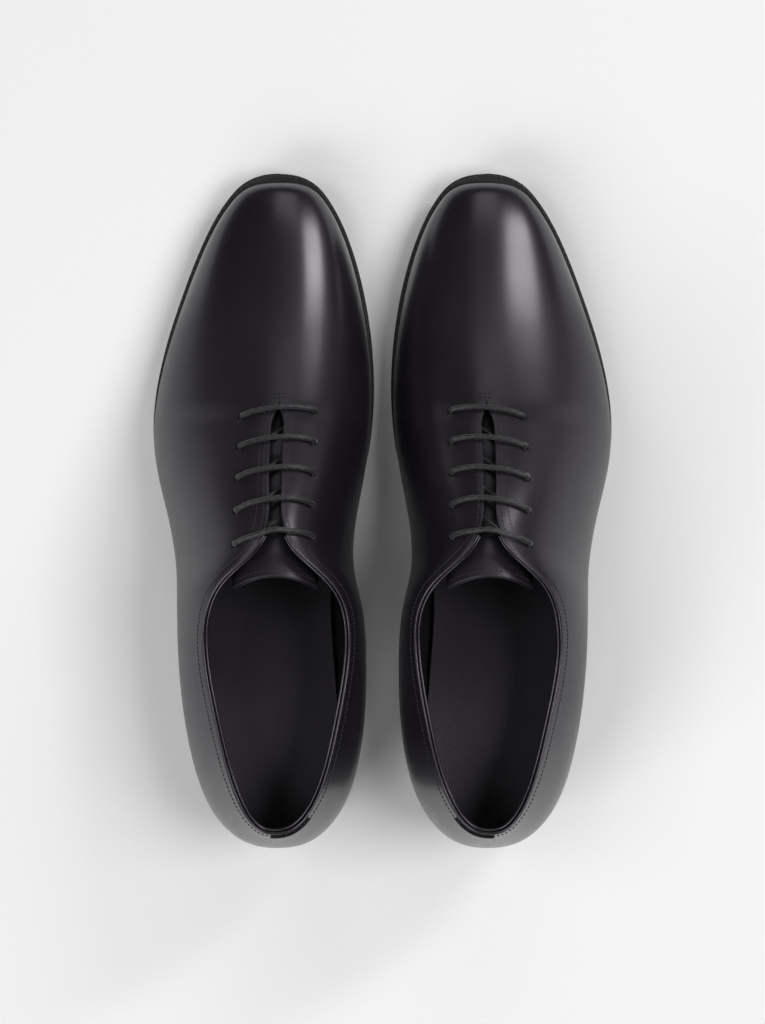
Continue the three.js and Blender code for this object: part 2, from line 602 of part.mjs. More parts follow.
/** The tongue's upper face, arched across and as deep under the facings as the lace needs. */
function tongueSheet() {
  const count = 9;
  const sheet = new Sheet();
  const shares = [-1, -0.66, -0.33, 0, 0.33, 0.66, 1];
  const grid = Array.from({ length: count }, (_, i) => {
    const t = i / (count - 1);
    const s = THREE.MathUtils.lerp(TONGUE_BASE, TONGUE_END, t);
    const { centre, normal } = instepFrame(s);
    const width = THREE.MathUtils.lerp(TONGUE_HALF_WIDTH.base, TONGUE_HALF_WIDTH.end, Math.sin((Math.PI / 2) * t));
    return shares.map((share) => {
      const x = share * width;
      const drop = TONGUE_ARCH - Math.sqrt(TONGUE_ARCH ** 2 - x * x);
      const point = centre.clone().addScaledVector(normal, -tongueDepth(t) - drop);
      return sheet.add(point.setX(x), { t, share });
    });
  });
  for (let i = 0; i + 1 < count; i++)
    for (let j = 0; j + 1 < shares.length; j++)
      sheet.quad(grid[i][j], grid[i][j + 1], grid[i + 1][j + 1], grid[i + 1][j]);
  return sheet;
}

const BENEATH_LACE = -LACE_UNDER + LACE_RADIUS + 3 * LACE_CLEARANCE;
const AGAINST_LINING = THIN_WALL_THICKNESS + 2 * FIT;
const tongueDepth = (t) => THREE.MathUtils.lerp(AGAINST_LINING, BENEATH_LACE, Math.min(t / 0.12, 1)) +
  TONGUE_SAG * THREE.MathUtils.smoothstep(t, 0.12, 0.75);

const above = (height) => (s) => soleBottom(s) + height;
const constant = (value) => () => value;
const PATH_FORWARD = ROWS_AT.filter((u) => u >= U_BREAST);
const PATH_BACK = ROWS_AT.filter((u) => u < U_BREAST - 0.02);
const weltPath = [
  { u: U_BREAST, side: OUTER }, ...PATH_FORWARD.map((u) => ({ u, side: OUTER })),
  ...PATH_FORWARD.slice(0, -1).reverse().map((u) => ({ u, side: INNER })), { u: U_BREAST, side: INNER },
];
const randPath = [
  { u: U_BREAST - 0.006, side: INNER }, ...PATH_BACK.slice(1).reverse().map((u) => ({ u, side: INNER })),
  ...PATH_BACK.map((u) => ({ u, side: OUTER })), { u: U_BREAST - 0.006, side: OUTER },
];
const INSOLE_BASE = FEATHER_RISE;
const SOCK_BASE = INSOLE_BASE + INSOLE_THICKNESS + FIT;
const FLOOR_RISE = SOCK_BASE + SOCK_THICKNESS;

/** The heel's lifts and its rubber top piece, from the floor up to the outsole. */
function heelPieces() {
  const margin = (u, side) => soleMargin(u, side) - 0.4;
  const pitch = (soleBottom(HEEL_BREAST) - TOP_PIECE_THICKNESS) / LIFT_COUNT;
  const pieces = [["heel_top_piece", slab({
    margin, to: HEEL_BREAST, rows: 14, bottom: constant(0), top: constant(TOP_PIECE_THICKNESS - FIT) })]];
  for (let i = 0; i < LIFT_COUNT; i++) {
    const base = TOP_PIECE_THICKNESS + i * pitch;
    const top = i === LIFT_COUNT - 1 ? above(-FIT) : constant(base + pitch - FIT);
    pieces.push([`heel_lift_${i + 1}`, slab({ margin, to: HEEL_BREAST, rows: 14, bottom: constant(base), top })]);
  }
  return pieces;
}

const LEATHER_BLACK = { color: 0x1d1b20, roughness: 0.28, metalness: 0 };
const finishes = {
  upper: LEATHER_BLACK,
  lining: { color: 0x151417, roughness: 0.6, metalness: 0 },
  sole: { color: 0x17161a, roughness: 0.45, metalness: 0 },
  raw: { color: 0x9a7a55, roughness: 0.8, metalness: 0 },
  cork: { color: 0x8a6b45, roughness: 0.95, metalness: 0 },
  steel: { color: 0x8d9096, roughness: 0.35, metalness: 1 },
  rubber: { color: 0x121214, roughness: 0.7, metalness: 0 },
  lace: { color: 0x19181b, roughness: 0.5, metalness: 0 },
};

/** Every piece of the left shoe as [name, geometry, finish]. */
function shoePieces() {
  const stiffener = (region) =>
    lastSheet(region).thicken(constant(STIFFENER_OFFSET), constant(STIFFENER_OFFSET - STIFFENER_THICKNESS));
  const stay = (side) => punched(stiffener({ ...STAY, sides: [side] }), [side]);
  const [tailFront, agletFront] = laceTail(TAIL_FRONT);
  const [tailRear, agletRear] = laceTail(TAIL_REAR);
  const heelTab = lastSheet({ to: ROWS_AT[1], low: COLUMNS_AT[4] })
    .thicken(constant(FIT + HEEL_TAB_THICKNESS), constant(FIT));
  return [
    ...heelPieces().map(([name, geometry], i) => [name, geometry, i === 0 ? "rubber" : "sole"]),
    ["outsole", slab({ margin: soleMargin, bottom: above(0), top: above(OUTSOLE_THICKNESS) }), "sole"],
    ["welt", edgeStrip(weltPath, WELT_INNER_MARGIN, (u, side) => soleMargin(u, side) - 0.3,
      WELT_BASE, WELT_BASE + WELT_THICKNESS), "sole"],
    ["heel_rand", edgeStrip(randPath, WELT_INNER_MARGIN, constant(RAND_OUTER_MARGIN),
      WELT_BASE, WELT_BASE + WELT_THICKNESS), "sole"],
    ["shank", slab({ margin: (u, side) => SHANK.width / 2 - Math.abs(blendStations(u, side).feather.x),
      from: SHANK.from, to: SHANK.to, bottom: above(WELT_BASE), top: above(WELT_BASE + WELT_THICKNESS - FIT),
      rows: 10 }), "steel"],
    ["cork_filler", slab({ margin: constant(CORK.margin), from: CORK.from, to: CORK.to,
      bottom: above(WELT_BASE), top: above(WELT_BASE + WELT_THICKNESS), rows: 14 }), "cork"],
    ["insole", slab({ margin: (u, side) => wallMargin(u, side, 1.3), bottom: above(INSOLE_BASE),
      top: above(INSOLE_BASE + INSOLE_THICKNESS) }), "raw"],
    ["sock_lining", slab({ margin: (u, side) => wallMargin(u, side, 1),
      bottom: above(SOCK_BASE), top: above(FLOOR_RISE) }), "lining"],
    ["heel_counter", stiffener({ to: U_COUNTER, high: COUNTER_TOP }), "raw"],
    ["toe_puff", stiffener({ from: U_PUFF }), "raw"],
    ["facing_stay_outer", stay(OUTER), "raw"],
    ["facing_stay_inner", stay(INNER), "raw"],
    ["lining", punched(lastSheet({}).thicken(liningOffset, (tag) => liningOffset(tag) - LINING_THICKNESS)),
      "lining"],
    ["upper", punched(lastSheet({}).thicken(constant(0), constant(-UPPER_THICKNESS))), "upper"],
    ["heel_tab", heelTab, "upper"],
    ["topline_bead", bead(), "upper"],
    ["tongue", tongueSheet().thicken(constant(0), constant(-TONGUE_THICKNESS)), "upper"],
    ["tongue_lining", tongueSheet().thicken(constant(-TONGUE_THICKNESS - FIT),
      constant(-TONGUE_THICKNESS - FIT - TONGUE_LINING_THICKNESS)), "lining"],
    ["lace", tube(heldLace(), LACE_RADIUS, 6), "lace"],
    ["lace_tail_front", tailFront, "lace"],
    ["lace_tail_rear", tailRear, "lace"],
    ["aglet_front", agletFront, "lace"],
    ["aglet_rear", agletRear, "lace"],
  ];
}

const pair = new THREE.Group();
const pieces = shoePieces();
for (const [shoe, mirror] of [["left", 1], ["right", -1]]) {
  const group = new THREE.Group();
  group.scale.x = mirror;
  group.position.x = (mirror * SHOE_SPACING) / 2;
  for (const [name, geometry, finish] of pieces) {
    const mesh = new THREE.Mesh(geometry, new THREE.MeshStandardMaterial(finishes[finish]));
    mesh.name = `${shoe}_${name}`;
    group.add(mesh);
  }
  pair.add(group);
}

export default pair;
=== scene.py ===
"""A pair of black wholecut oxford shoes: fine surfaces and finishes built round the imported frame.

Inside one shoe a point is (x, s, z) in millimetres: x is positive toward the outer side of the foot, s runs
from the back of the heel to the toe, and z is the height above the floor. place() turns such points into the
frame's metres for the left or the right shoe.
"""
import logging
import math
from collections.abc import Callable, Sequence
from dataclasses import dataclass, field
from enum import Enum

import bmesh
import bpy
import numpy as np
from mathutils import Matrix, Quaternion, Vector


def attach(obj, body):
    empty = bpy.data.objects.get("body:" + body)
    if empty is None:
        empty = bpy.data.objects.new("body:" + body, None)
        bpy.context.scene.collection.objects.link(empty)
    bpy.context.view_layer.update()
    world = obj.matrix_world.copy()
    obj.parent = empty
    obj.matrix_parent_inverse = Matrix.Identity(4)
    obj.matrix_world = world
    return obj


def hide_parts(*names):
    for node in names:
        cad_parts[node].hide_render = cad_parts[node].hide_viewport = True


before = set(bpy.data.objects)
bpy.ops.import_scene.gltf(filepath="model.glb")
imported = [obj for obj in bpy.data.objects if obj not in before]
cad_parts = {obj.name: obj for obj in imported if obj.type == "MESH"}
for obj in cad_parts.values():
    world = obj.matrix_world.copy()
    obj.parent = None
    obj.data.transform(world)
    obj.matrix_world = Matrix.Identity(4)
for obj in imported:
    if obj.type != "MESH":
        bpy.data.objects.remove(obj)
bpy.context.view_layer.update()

log = logging.getLogger("oxford")

Array = np.ndarray
MM = 0.001


class Side(Enum):
    """The two sides of one foot."""

    OUTER = 1
    INNER = -1

    @property
    def eyelet_offsets(self) -> tuple[float, float]:
        """How far the first and the last eyelet lie from the centre line, in millimetres."""
        return (15.3, 17.2) if self is Side.OUTER else (16.4, 16.2)


class Foot(Enum):
    """Which shoe of the pair, and the sign of the side it stands on."""

    LEFT = 1
    RIGHT = -1

    @property
    def prefix(self) -> str:
        """The start of its nodes' names."""
        return "left" if self is Foot.LEFT else "right"


# ---- Shared sizes, in millimetres, as in the frame ---------------------------------------------
SHOE_SPACING = 93.4
HEEL_BACK_Y = 152.9
FIT = 0.3
UPPER_THICKNESS = 1.4
STIFFENER_THICKNESS = 1.0
LINING_THICKNESS = 0.9
TOP_PIECE_THICKNESS = 6.0
LIFT_COUNT = 3
HEEL_BREAST = 62.0
OUTSOLE_THICKNESS = 5.0
WELT_THICKNESS = 2.1
WELT_INNER_MARGIN = -6.5
INSOLE_THICKNESS = 2.8
SOCK_THICKNESS = 1.1
THROAT = 201.0
FACING_GAP = 5.6
FACING_TOP = 141.0
TOE_PUFF_FROM = 262.0
COUNTER_TO = 74.0
EYELET_ROWS = 5
FIRST_EYELET = 196.0
LAST_EYELET = 142.5
BAR_SLANT = 1.7
BAR_BOW = 0.5
LACE_RADIUS = 1.1
LACE_CLEARANCE = 0.35
TONGUE_BASE = 207.0
TONGUE_END = 128.0
TONGUE_ARCH = 22.5
TONGUE_HALF_WIDTH = (14.0, 19.0)
TONGUE_SAG = 5.8
TONGUE_THICKNESS = 1.3
TONGUE_LINING_THICKNESS = 0.8

WELT_BASE = OUTSOLE_THICKNESS + FIT
FEATHER_RISE = WELT_BASE + WELT_THICKNESS + FIT
STIFFENER_DEPTH = UPPER_THICKNESS + FIT
THIN_WALL = STIFFENER_DEPTH + LINING_THICKNESS
WALL = THIN_WALL + STIFFENER_THICKNESS + FIT
FLOOR_RISE = FEATHER_RISE + INSOLE_THICKNESS + FIT + SOCK_THICKNESS

# The last's stations: feather edge (s, outer x, inner x), top edge (s, outer x, inner x, rise above the
# feather edge), bulge (out, up), shoulder (outer reach, inner reach, down) and facing direction in degrees.
STATIONS = (
    ((4, 0, 0), (11, 0, 0, 58.5), (7, 14), (6.5, 6.5, 26), -90),
    ((4, 10.5, -10.5), (11, 5.5, -6, 58.5), (7, 14), (7, 7, 26), -82),
    ((10, 22, -20.5), (16, 12.5, -14, 56.9), (7, 14), (9, 8.5, 26), -48),
    ((27, 30.5, -29), (33, 20.5, -22.5, 52.2), (10, 14), (13, 11, 26), -16),
    ((52, 33, -31), (60, 27, -28.5, 49.6), (13, 13), (17, 12, 24), -4),
    ((78, 34, -29), (88, 33, -33.5, 54.9), (14, 13), (15, 9, 24), 0),
    ((100, 37, -27), (110, 31.5, -33, 65.5), (14, 14), (14, 9, 20), 0),
    ((118, 40, -27), (125, 22.5, -23, 76.9), (14, 16), (18, 13, 12), 0),
    ((133, 44, -29), (135, 4.5, -5.5, 84.3), (12, 20), (23, 17, 6), 0),
    ((148, 48, -32), (147, -0.9, 0.2, 84.3), (10, 24), (26, 20, 2), 0),
    ((163, 52, -35.5), (162, 0, 0, 78), (8, 26), (28, 21, 0), 0),
    ((180, 55, -38.5), (180, 0, 0, 66.6), (6, 25), (30, 22, 0), 0),
    ((201, 54.5, -40.5), (201, -1, -1, 53.3), (4, 24), (30, 22, 0), 0),
    ((225, 49, -39.3), (225, -2.5, -2.5, 42), (3, 21), (28, 21, 0), 0),
    ((250, 40.5, -35.5), (250, -3.5, -3.5, 32.6), (2.4, 17), (24, 19, 0), 0),
    ((274, 31, -28.5), (274, -2.5, -2.5, 22.9), (2, 13), (18, 15, 0), 0),
    ((292, 20.5, -19.5), (292, -1.2, -1.2, 13.9), (1.4, 9), (11.5, 10.5, 0), 0),
    ((300.5, 11, -11), (300.5, -0.5, -0.5, 7), (0.8, 4.5), (6, 6, 0), 0),
    ((300.5, 0, 0), (300.5, 0, 0, 0), (0, 0), (0, 0, 0), 0),
)
SOLE_PROFILE = (
    (0, 25), (30, 24.6), (62, 22.5), (90, 15.5), (118, 8), (145, 3), (172, 0), (200, 0),
    (226, 0), (252, 1.8), (278, 5.6), (306, 12),
)
SOLE_MARGIN = {
    Side.OUTER: ((0, 1.2), (45, 1.2), (75, 0.2), (110, -0.5), (150, 1.5), (185, 3.4), (230, 4), (320, 4)),
    Side.INNER: ((0, 1.2), (45, 1), (75, -0.5), (105, -1.5), (140, 0), (180, 2.4), (230, 3.2), (320, 4)),
}
TAIL_FRONT = (
    (13.8, 189.7, 59.7), (13.5, 189.1, 58.8), (14.4, 187.5, 55.5), (20, 186.2, 53.1), (26.5, 185.6, 51.5),
    (33, 185.3, 47.2), (38.5, 185.3, 40.7), (43, 185.6, 33), (45.6, 186.5, 25), (45.8, 189.5, 18.5),
    (43.5, 195.5, 14.4), (40, 204, 13.5), (35.5, 215, 13.6), (31, 228, 14), (27.5, 241, 14.8),
    (24, 253, 16), (17, 261, 17), (8, 263.5, 17.4), (0.5, 258.5, 17.1), (-2.5, 249, 16.3),
)
TAIL_REAR = (
    (-12.1, 138.2, 85.2), (-11.4, 137.9, 84.6), (-11.9, 136.6, 82.8), (-16, 135.3, 80.6), (-18.9, 135.2, 76.7),
    (-21.3, 135.3, 70.5), (-23.8, 135.3, 62.5), (-26.1, 135.3, 52.5), (-27.4, 135.6, 42), (-27.6, 136.8, 32),
    (-26.8, 140, 24), (-26.3, 148, 17.6), (-28, 160, 15.1), (-30.5, 174, 14), (-32, 188, 13.5),
    (-32, 202, 13.5), (-30.5, 216, 13.6), (-27.5, 230, 14.2), (-24, 242, 15.5), (-21, 251, 16.9),
)


# ---- The last ----------------------------------------------------------------------------------
def bspline(rows: Array, at: Array) -> Array:
    """Values of a clamped uniform cubic B-spline.

    Args:
        rows: Control rows, one to a station.
        at: Places from 0 to 1.

    Returns:
        One row of values for each place.
    """
    spans = len(rows) - 3
    knots = np.concatenate([np.zeros(3), np.arange(spans + 1), np.full(3, spans)]).astype(float)
    x = np.clip(np.asarray(at, float), 0, 1) * spans
    span = np.minimum(x.astype(int), spans - 1)
    local = rows[span[:, None] + np.arange(4)].astype(float)
    for level in (1, 2, 3):
        for j in range(3, level - 1, -1):
            low = knots[span + j]
            share = ((x - low) / (knots[span + j + 4 - level] - low))[:, None]
            local[:, j] = (1 - share) * local[:, j - 1] + share * local[:, j]
    return local[:, 3]


_PROFILE = bspline(np.array(SOLE_PROFILE), np.linspace(0, 1, 801))


def sole_bottom(s: Array) -> Array:
    """Height of the outsole's underside at s."""
    return np.interp(s, _PROFILE[:, 0], _PROFILE[:, 1])


def smoothstep(x: Array, low: float, high: float) -> Array:
    """0 below low, 1 above high, and smooth between."""
    t = np.clip((np.asarray(x, float) - low) / (high - low), 0, 1)
    return t * t * (3 - 2 * t)


class Last:
    """The shoe's shape, as a surface over w and v.

    w runs along the feather edge: -1 is the toe tip by the inner side, 0 the back seam and 1 the toe tip by
    the outer side. v runs from the feather edge, 0, to the top edge, 1.
    """

    def __init__(self) -> None:
        """Prepares both sides' rows and the places of its landmarks."""
        self.rows = {}
        for side, k in ((Side.OUTER, 1), (Side.INNER, 2)):
            self.rows[side] = np.array([
                (feather[0], feather[k], top[0], top[k], top[3], *bulge, shoulder[k - 1], shoulder[2], aim)
                for feather, top, bulge, shoulder, aim in STATIONS], float)
        self.throat = self.along_top(THROAT)
        self.facing_top = self.along_top(FACING_TOP)
        self.puff = self.along_feather(TOE_PUFF_FROM)
        self.counter = self.along_feather(COUNTER_TO)
        self.breast = self.along_feather(HEEL_BREAST)

    def _solve(self, column: int, target: float) -> float:
        """The u where a rising column of the outer side's rows reaches a value."""
        u = np.linspace(0, 1, 4001)
        return float(np.interp(target, np.maximum.accumulate(bspline(self.rows[Side.OUTER], u)[:, column]), u))

    def along_top(self, s: float) -> float:
        """The u where the top edge passes s."""
        return self._solve(2, s)

    def along_feather(self, s: float) -> float:
        """The u where the feather edge passes s."""
        return self._solve(0, s)

    def blend(self, w: Array) -> Array:
        """The stations' rows blended at w, each from its own side."""
        w = np.atleast_1d(np.asarray(w, float))
        outer = bspline(self.rows[Side.OUTER], np.abs(w))
        inner = bspline(self.rows[Side.INNER], np.abs(w))
        return np.where((w >= 0)[:, None], outer, inner)

    def gap(self, u: Array) -> Array:
        """Half the distance between the facings at u."""
        closed = 1 - smoothstep(u, self.throat - 0.035, self.throat)
        return FACING_GAP / 2 * closed * smoothstep(u, self.facing_top - 0.1, self.facing_top)

    @staticmethod
    def overhang(w: Array, s: Array) -> Array:
        """How far the lasted leather swells over the welt along the forepart, in millimetres."""
        widest = np.where(w >= 0, 2.0, 1.2 + 0.8 * smoothstep(s, 240, 300))
        return widest * smoothstep(s, 140, 190)

    def raw(self, w: Array, v: Array) -> Array:
        """Points (x, y, z) of the upper's outer face, in millimetres."""
        w = np.atleast_1d(np.asarray(w, float))
        v = np.broadcast_to(np.asarray(v, float), w.shape)[:, None]
        side = np.where(w >= 0, 1.0, -1.0)
        fs, fx, ts, tx, rise, out, up, reach, down, aim = self.blend(w).T
        angle = np.radians(aim)
        dx, dy = np.cos(angle) * side, -np.sin(angle)
        over = self.overhang(w, fs)
        start = np.stack([fx + dx * over, HEEL_BACK_Y - fs + dy * over, sole_bottom(fs) + FEATHER_RISE], 1)
        end = np.stack([tx + side * self.gap(np.abs(w)), HEEL_BACK_Y - ts,
                        sole_bottom(ts) + FEATHER_RISE + rise], 1)
        lower = start + np.stack([dx * out, dy * out, up], 1)
        upper = end + np.stack([dx * reach, dy * reach, -down], 1)
        return ((1 - v) ** 3 * start + 3 * (1 - v) ** 2 * v * lower
                + 3 * (1 - v) * v * v * upper + v ** 3 * end)

    def normal(self, w: Array, v: Array) -> Array:
        """Outward unit normals of the outer face."""
        w = np.clip(np.atleast_1d(np.asarray(w, float)), -0.9985, 0.9985)
        v = np.broadcast_to(np.asarray(v, float), w.shape)
        step = 8e-4
        on_ridge = (np.abs(w) > self.throat - 0.04) & (v > 0.999)
        dw = self.raw(w + step, v) - self.raw(w - step, v)
        high = np.minimum(v + step, 1)
        dv = self.raw(w, high) - self.raw(w, high - 2 * step)
        n = np.cross(dv, dw)
        n[on_ridge, 0] = 0
        return n / np.maximum(np.linalg.norm(n, axis=1, keepdims=True), 1e-12)

    def point(self, w: Array, v: Array, depth: Array = 0.0) -> Array:
        """Points a depth inside the outer face, in millimetres."""
        return self.raw(w, v) - self.normal(w, v) * np.reshape(depth, (-1, 1))

    def edge(self, w: Array, margin: Array) -> Array:
        """Points (x, y) of the feather edge in plan, moved outward by a margin."""
        w = np.atleast_1d(np.asarray(w, float))
        step = 1e-3
        here = self.blend(w)[:, :2]
        before = self.blend(np.maximum(w - step, -1))[:, :2]
        after = self.blend(np.minimum(w + step, 1))[:, :2]
        along = after - before
        along /= np.maximum(np.linalg.norm(along, axis=1, keepdims=True), 1e-12)
        x = here[:, 1] + along[:, 0] * margin
        s = here[:, 0] - along[:, 1] * margin
        return np.stack([x, HEEL_BACK_Y - s], 1)

    def sole_margin(self, w: Array) -> Array:
        """How far the sole stands out from the feather edge."""
        w = np.atleast_1d(np.asarray(w, float))
        s = self.blend(np.abs(w))[:, 0]
        values = {side: np.interp(s, *np.array(SOLE_MARGIN[side]).T) for side in Side}
        return np.where(w >= 0, values[Side.OUTER], values[Side.INNER])

    def wall_margin(self, w: Array, clearance: float) -> Array:
        """Margin of the shoe's inner wall at the feather edge."""
        rows = self.blend(np.clip(w, -0.97, 0.97))
        return -WALL * np.cos(np.arctan2(rows[:, 5], rows[:, 6])) - clearance


LAST = Last()


class Instep:
    """The line up the middle of the facings, which the lace and the tongue follow."""

    BEYOND = ((138.0, 87.2), (124.0, 90.2), (116.0, 91.2))

    def __init__(self) -> None:
        """Samples the line as a smooth function of the station."""
        u = np.linspace(LAST.throat + 0.045, LAST.along_top(148), 6)
        rows = bspline(LAST.rows[Side.OUTER], u)
        s = np.concatenate([rows[:, 2], [b[0] for b in self.BEYOND]])
        rise = np.concatenate([rows[:, 4], [b[1] for b in self.BEYOND]])
        z = sole_bottom(s) + FEATHER_RISE + rise
        fit = np.polyfit(s - 165, z, 5)
        self._height = lambda at: np.polyval(fit, at - 165)

    def frame(self, s: float) -> tuple[Array, Array, Array]:
        """Centre, direction up the leg and outward normal at a station."""
        z0, z1 = self._height(s + 0.5), self._height(s - 0.5)
        along = np.array([0.0, 1.0, z1 - z0])
        along /= np.linalg.norm(along)
        centre = np.array([0.0, HEEL_BACK_Y - s, self._height(s)])
        return centre, along, np.array([0.0, -along[2], along[1]])

    def point(self, s: float, x: float, lift: float = 0.0) -> Array:
        """Point of the upper across the instep at s and x, lifted along its normal."""
        centre, along, normal = self.frame(s)
        if abs(x) < FACING_GAP / 2 + 1:
            return centre + np.array([x, 0, 0]) + normal * lift
        w, v = self.locate(s, x)
        return LAST.point([w], [v], -lift)[0]

    def locate(self, s: float, x: float) -> tuple[float, float]:
        """The w and v of the upper where the plane across the instep at s meets x."""
        centre, along, _ = self.frame(s)
        sign = 1.0 if x > 0 else -1.0
        guess = np.array([LAST.along_top(max(s - 3, 128)), 0.85])

        def miss(at: Array) -> Array:
            """How far a guess lies from x and from the plane."""
            p = LAST.raw([sign * at[0]], [at[1]])[0]
            return np.array([p[0] - x, (p - centre) @ along])

        for _ in range(12):
            here = miss(guess)
            if np.abs(here).max() < 1e-4:
                break
            jacobian = np.stack([(miss(guess + d) - here) / 1e-4 for d in np.eye(2) * 1e-4], 1)
            guess = np.clip(guess - np.linalg.solve(jacobian, here), [0.3, 0.3], [0.8, 1.0])
        return sign * guess[0], guess[1]


INSTEP = Instep()


def bar_place(row: int, share: float) -> tuple[float, float]:
    """Station and x of a lace bar at a share of the way from its middle to an eyelet, outer positive."""
    along = row / (EYELET_ROWS - 1)
    first, last = (Side.INNER if share < 0 else Side.OUTER).eyelet_offsets
    s = FIRST_EYELET + (LAST_EYELET - FIRST_EYELET) * along - BAR_SLANT * share - BAR_BOW * share * share
    return s, share * (first + (last - first) * along)


# ---- Mesh helpers ------------------------------------------------------------------------------
Mapping = Callable[[Array, Array], Array]


@dataclass
class Shoe:
    """One shoe: where it stands, and how its pieces are made into objects."""

    foot: Foot

    @property
    def body(self) -> str:
        """The rigid body that its pieces ride on."""
        return f"{self.foot.prefix}_shoe"

    def node(self, name: str) -> str:
        """A node's full name."""
        return f"{self.foot.prefix}_{name}"

    def place(self, points: Array) -> Array:
        """Shoe points (x, y, z) in millimetres as frame points in metres."""
        out = np.array(points, float)
        out[..., 0] = self.foot.value * (SHOE_SPACING / 2 + out[..., 0])
        return out * MM

    def finish(self, bm: bmesh.types.BMesh, name: str, material: bpy.types.Material, slot: str,
               body: str = "", replaces: Sequence[str] = (), smooth: float = 60.0) -> bpy.types.Object:
        """Turns a bmesh in shoe millimetres into a piece that rides on a body.

        Args:
            bm: The mesh, which is freed.
            name: The piece's name without its shoe.
            material: Its finish.
            slot: Not used.
            body: The body it rides on; its own shoe's if empty.
            replaces: Frame nodes that it stands for, without their shoe.
            smooth: Angle in degrees up to which edges are shaded smooth.

        Returns:
            The new object.
        """
        placed = self.place(np.array([vert.co for vert in bm.verts]))
        for vert, point in zip(bm.verts, placed):
            vert.co = point
        if self.foot is Foot.RIGHT:
            bmesh.ops.reverse_faces(bm, faces=bm.faces)
        for face in bm.faces:
            face.smooth = True
        for edge in bm.edges:
            if len(edge.link_faces) == 2 and edge.calc_face_angle(0.0) > math.radians(smooth):
                edge.smooth = False
        mesh = bpy.data.meshes.new(self.node(name))
        bm.to_mesh(mesh)
        bm.free()
        piece = bpy.data.objects.new(self.node(name), mesh)
        bpy.context.scene.collection.objects.link(piece)
        mesh.materials.append(material)
        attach(piece, body or self.body)
        if replaces:
            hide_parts(*[self.node(node) for node in replaces])
        log.info("%s: %d faces", piece.name, len(mesh.polygons))
        return piece


def mapped_grid(across: Array, up: Array, mapping: Mapping, merge: float = 1e-3,
                marks: dict[str, Callable[[Array, Array], Array]] | None = None) -> bmesh.types.BMesh:
    """A grid whose vertices are carried onto a surface.

    Args:
        across: The first parameter's values, one to a column.
        up: The second parameter's values, one to a row.
        mapping: Gives points in millimetres for arrays of the two parameters.
        merge: Distance in millimetres under which vertices are joined.
        marks: Named vertex attributes, each a function of the two parameters.

    Returns:
        The mesh, with the two parameters as its UV map.
    """
    bm = bmesh.new()
    uv_map = bm.loops.layers.uv.new("UVMap")
    layers = {name: bm.verts.layers.float.new(name) for name in marks or {}}
    bmesh.ops.create_grid(bm, x_segments=len(across) - 1, y_segments=len(up) - 1, size=1)
    bm.verts.ensure_lookup_table()
    bm.verts.index_update()
    flat = np.array([vert.co[:2] for vert in bm.verts])
    a = np.interp(flat[:, 0], np.linspace(-1, 1, len(across)), across)
    b = np.interp(flat[:, 1], np.linspace(-1, 1, len(up)), up)
    for face in bm.faces:
        for loop in face.loops:
            loop[uv_map].uv = (a[loop.vert.index], b[loop.vert.index])
    for name, layer in layers.items():
        for vert, value in zip(bm.verts, marks[name](a, b)):
            vert[layer] = float(value)
    for vert, point in zip(bm.verts, mapping(a, b)):
        vert.co = point
    bmesh.ops.remove_doubles(bm, verts=bm.verts, dist=merge)
    return bm


def frames_along(path: Array, seed: Array) -> tuple[Array, Array, Array]:
    """Direction and two steady cross axes at each point of a path, starting from a seed direction."""
    tangent = np.gradient(path, axis=0)
    tangent /= np.linalg.norm(tangent, axis=1, keepdims=True)
    first = np.empty_like(path)
    axis = seed - tangent[0] * (seed @ tangent[0])
    for i, t in enumerate(tangent):
        axis = axis - t * (axis @ t)
        axis = axis / np.linalg.norm(axis)
        first[i] = axis
    return tangent, first, np.cross(tangent, first)


def lengths_along(path: Array) -> Array:
    """Distance from the path's start at each of its points."""
    return np.concatenate([[0.0], np.cumsum(np.linalg.norm(np.diff(path, axis=0), axis=1))])


def smooth_path(points: Sequence[Sequence[float]], step: float) -> Array:
    """Points at equal steps along a centripetal curve through chosen ones."""
    chosen = np.array(points, float)
    ends = np.concatenate([[2 * chosen[0] - chosen[1]], chosen, [2 * chosen[-1] - chosen[-2]]])
    dense = []
    for p0, p1, p2, p3 in zip(ends, ends[1:], ends[2:], ends[3:]):
        t1 = np.linalg.norm(p1 - p0) ** 0.5
        t2 = t1 + np.linalg.norm(p2 - p1) ** 0.5
        t3 = t2 + np.linalg.norm(p3 - p2) ** 0.5
        t = np.linspace(t1, t2, 24, endpoint=False)[:, None]
        a1 = (t1 - t) / t1 * p0 + t / t1 * p1
        a2 = (t2 - t) / (t2 - t1) * p1 + (t - t1) / (t2 - t1) * p2
        a3 = (t3 - t) / (t3 - t2) * p2 + (t - t2) / (t3 - t2) * p3
        b1 = (t2 - t) / t2 * a1 + t / t2 * a2
        b2 = (t3 - t) / (t3 - t1) * a2 + (t - t1) / (t3 - t1) * a3
        dense.append((t2 - t) / (t2 - t1) * b1 + (t - t1) / (t2 - t1) * b2)
    line = np.concatenate([*dense, chosen[-1:]])
    along = lengths_along(line)
    at = np.linspace(0, along[-1], max(2, round(along[-1] / step)) + 1)
    return np.stack([np.interp(at, along, line[:, k]) for k in range(3)], 1)


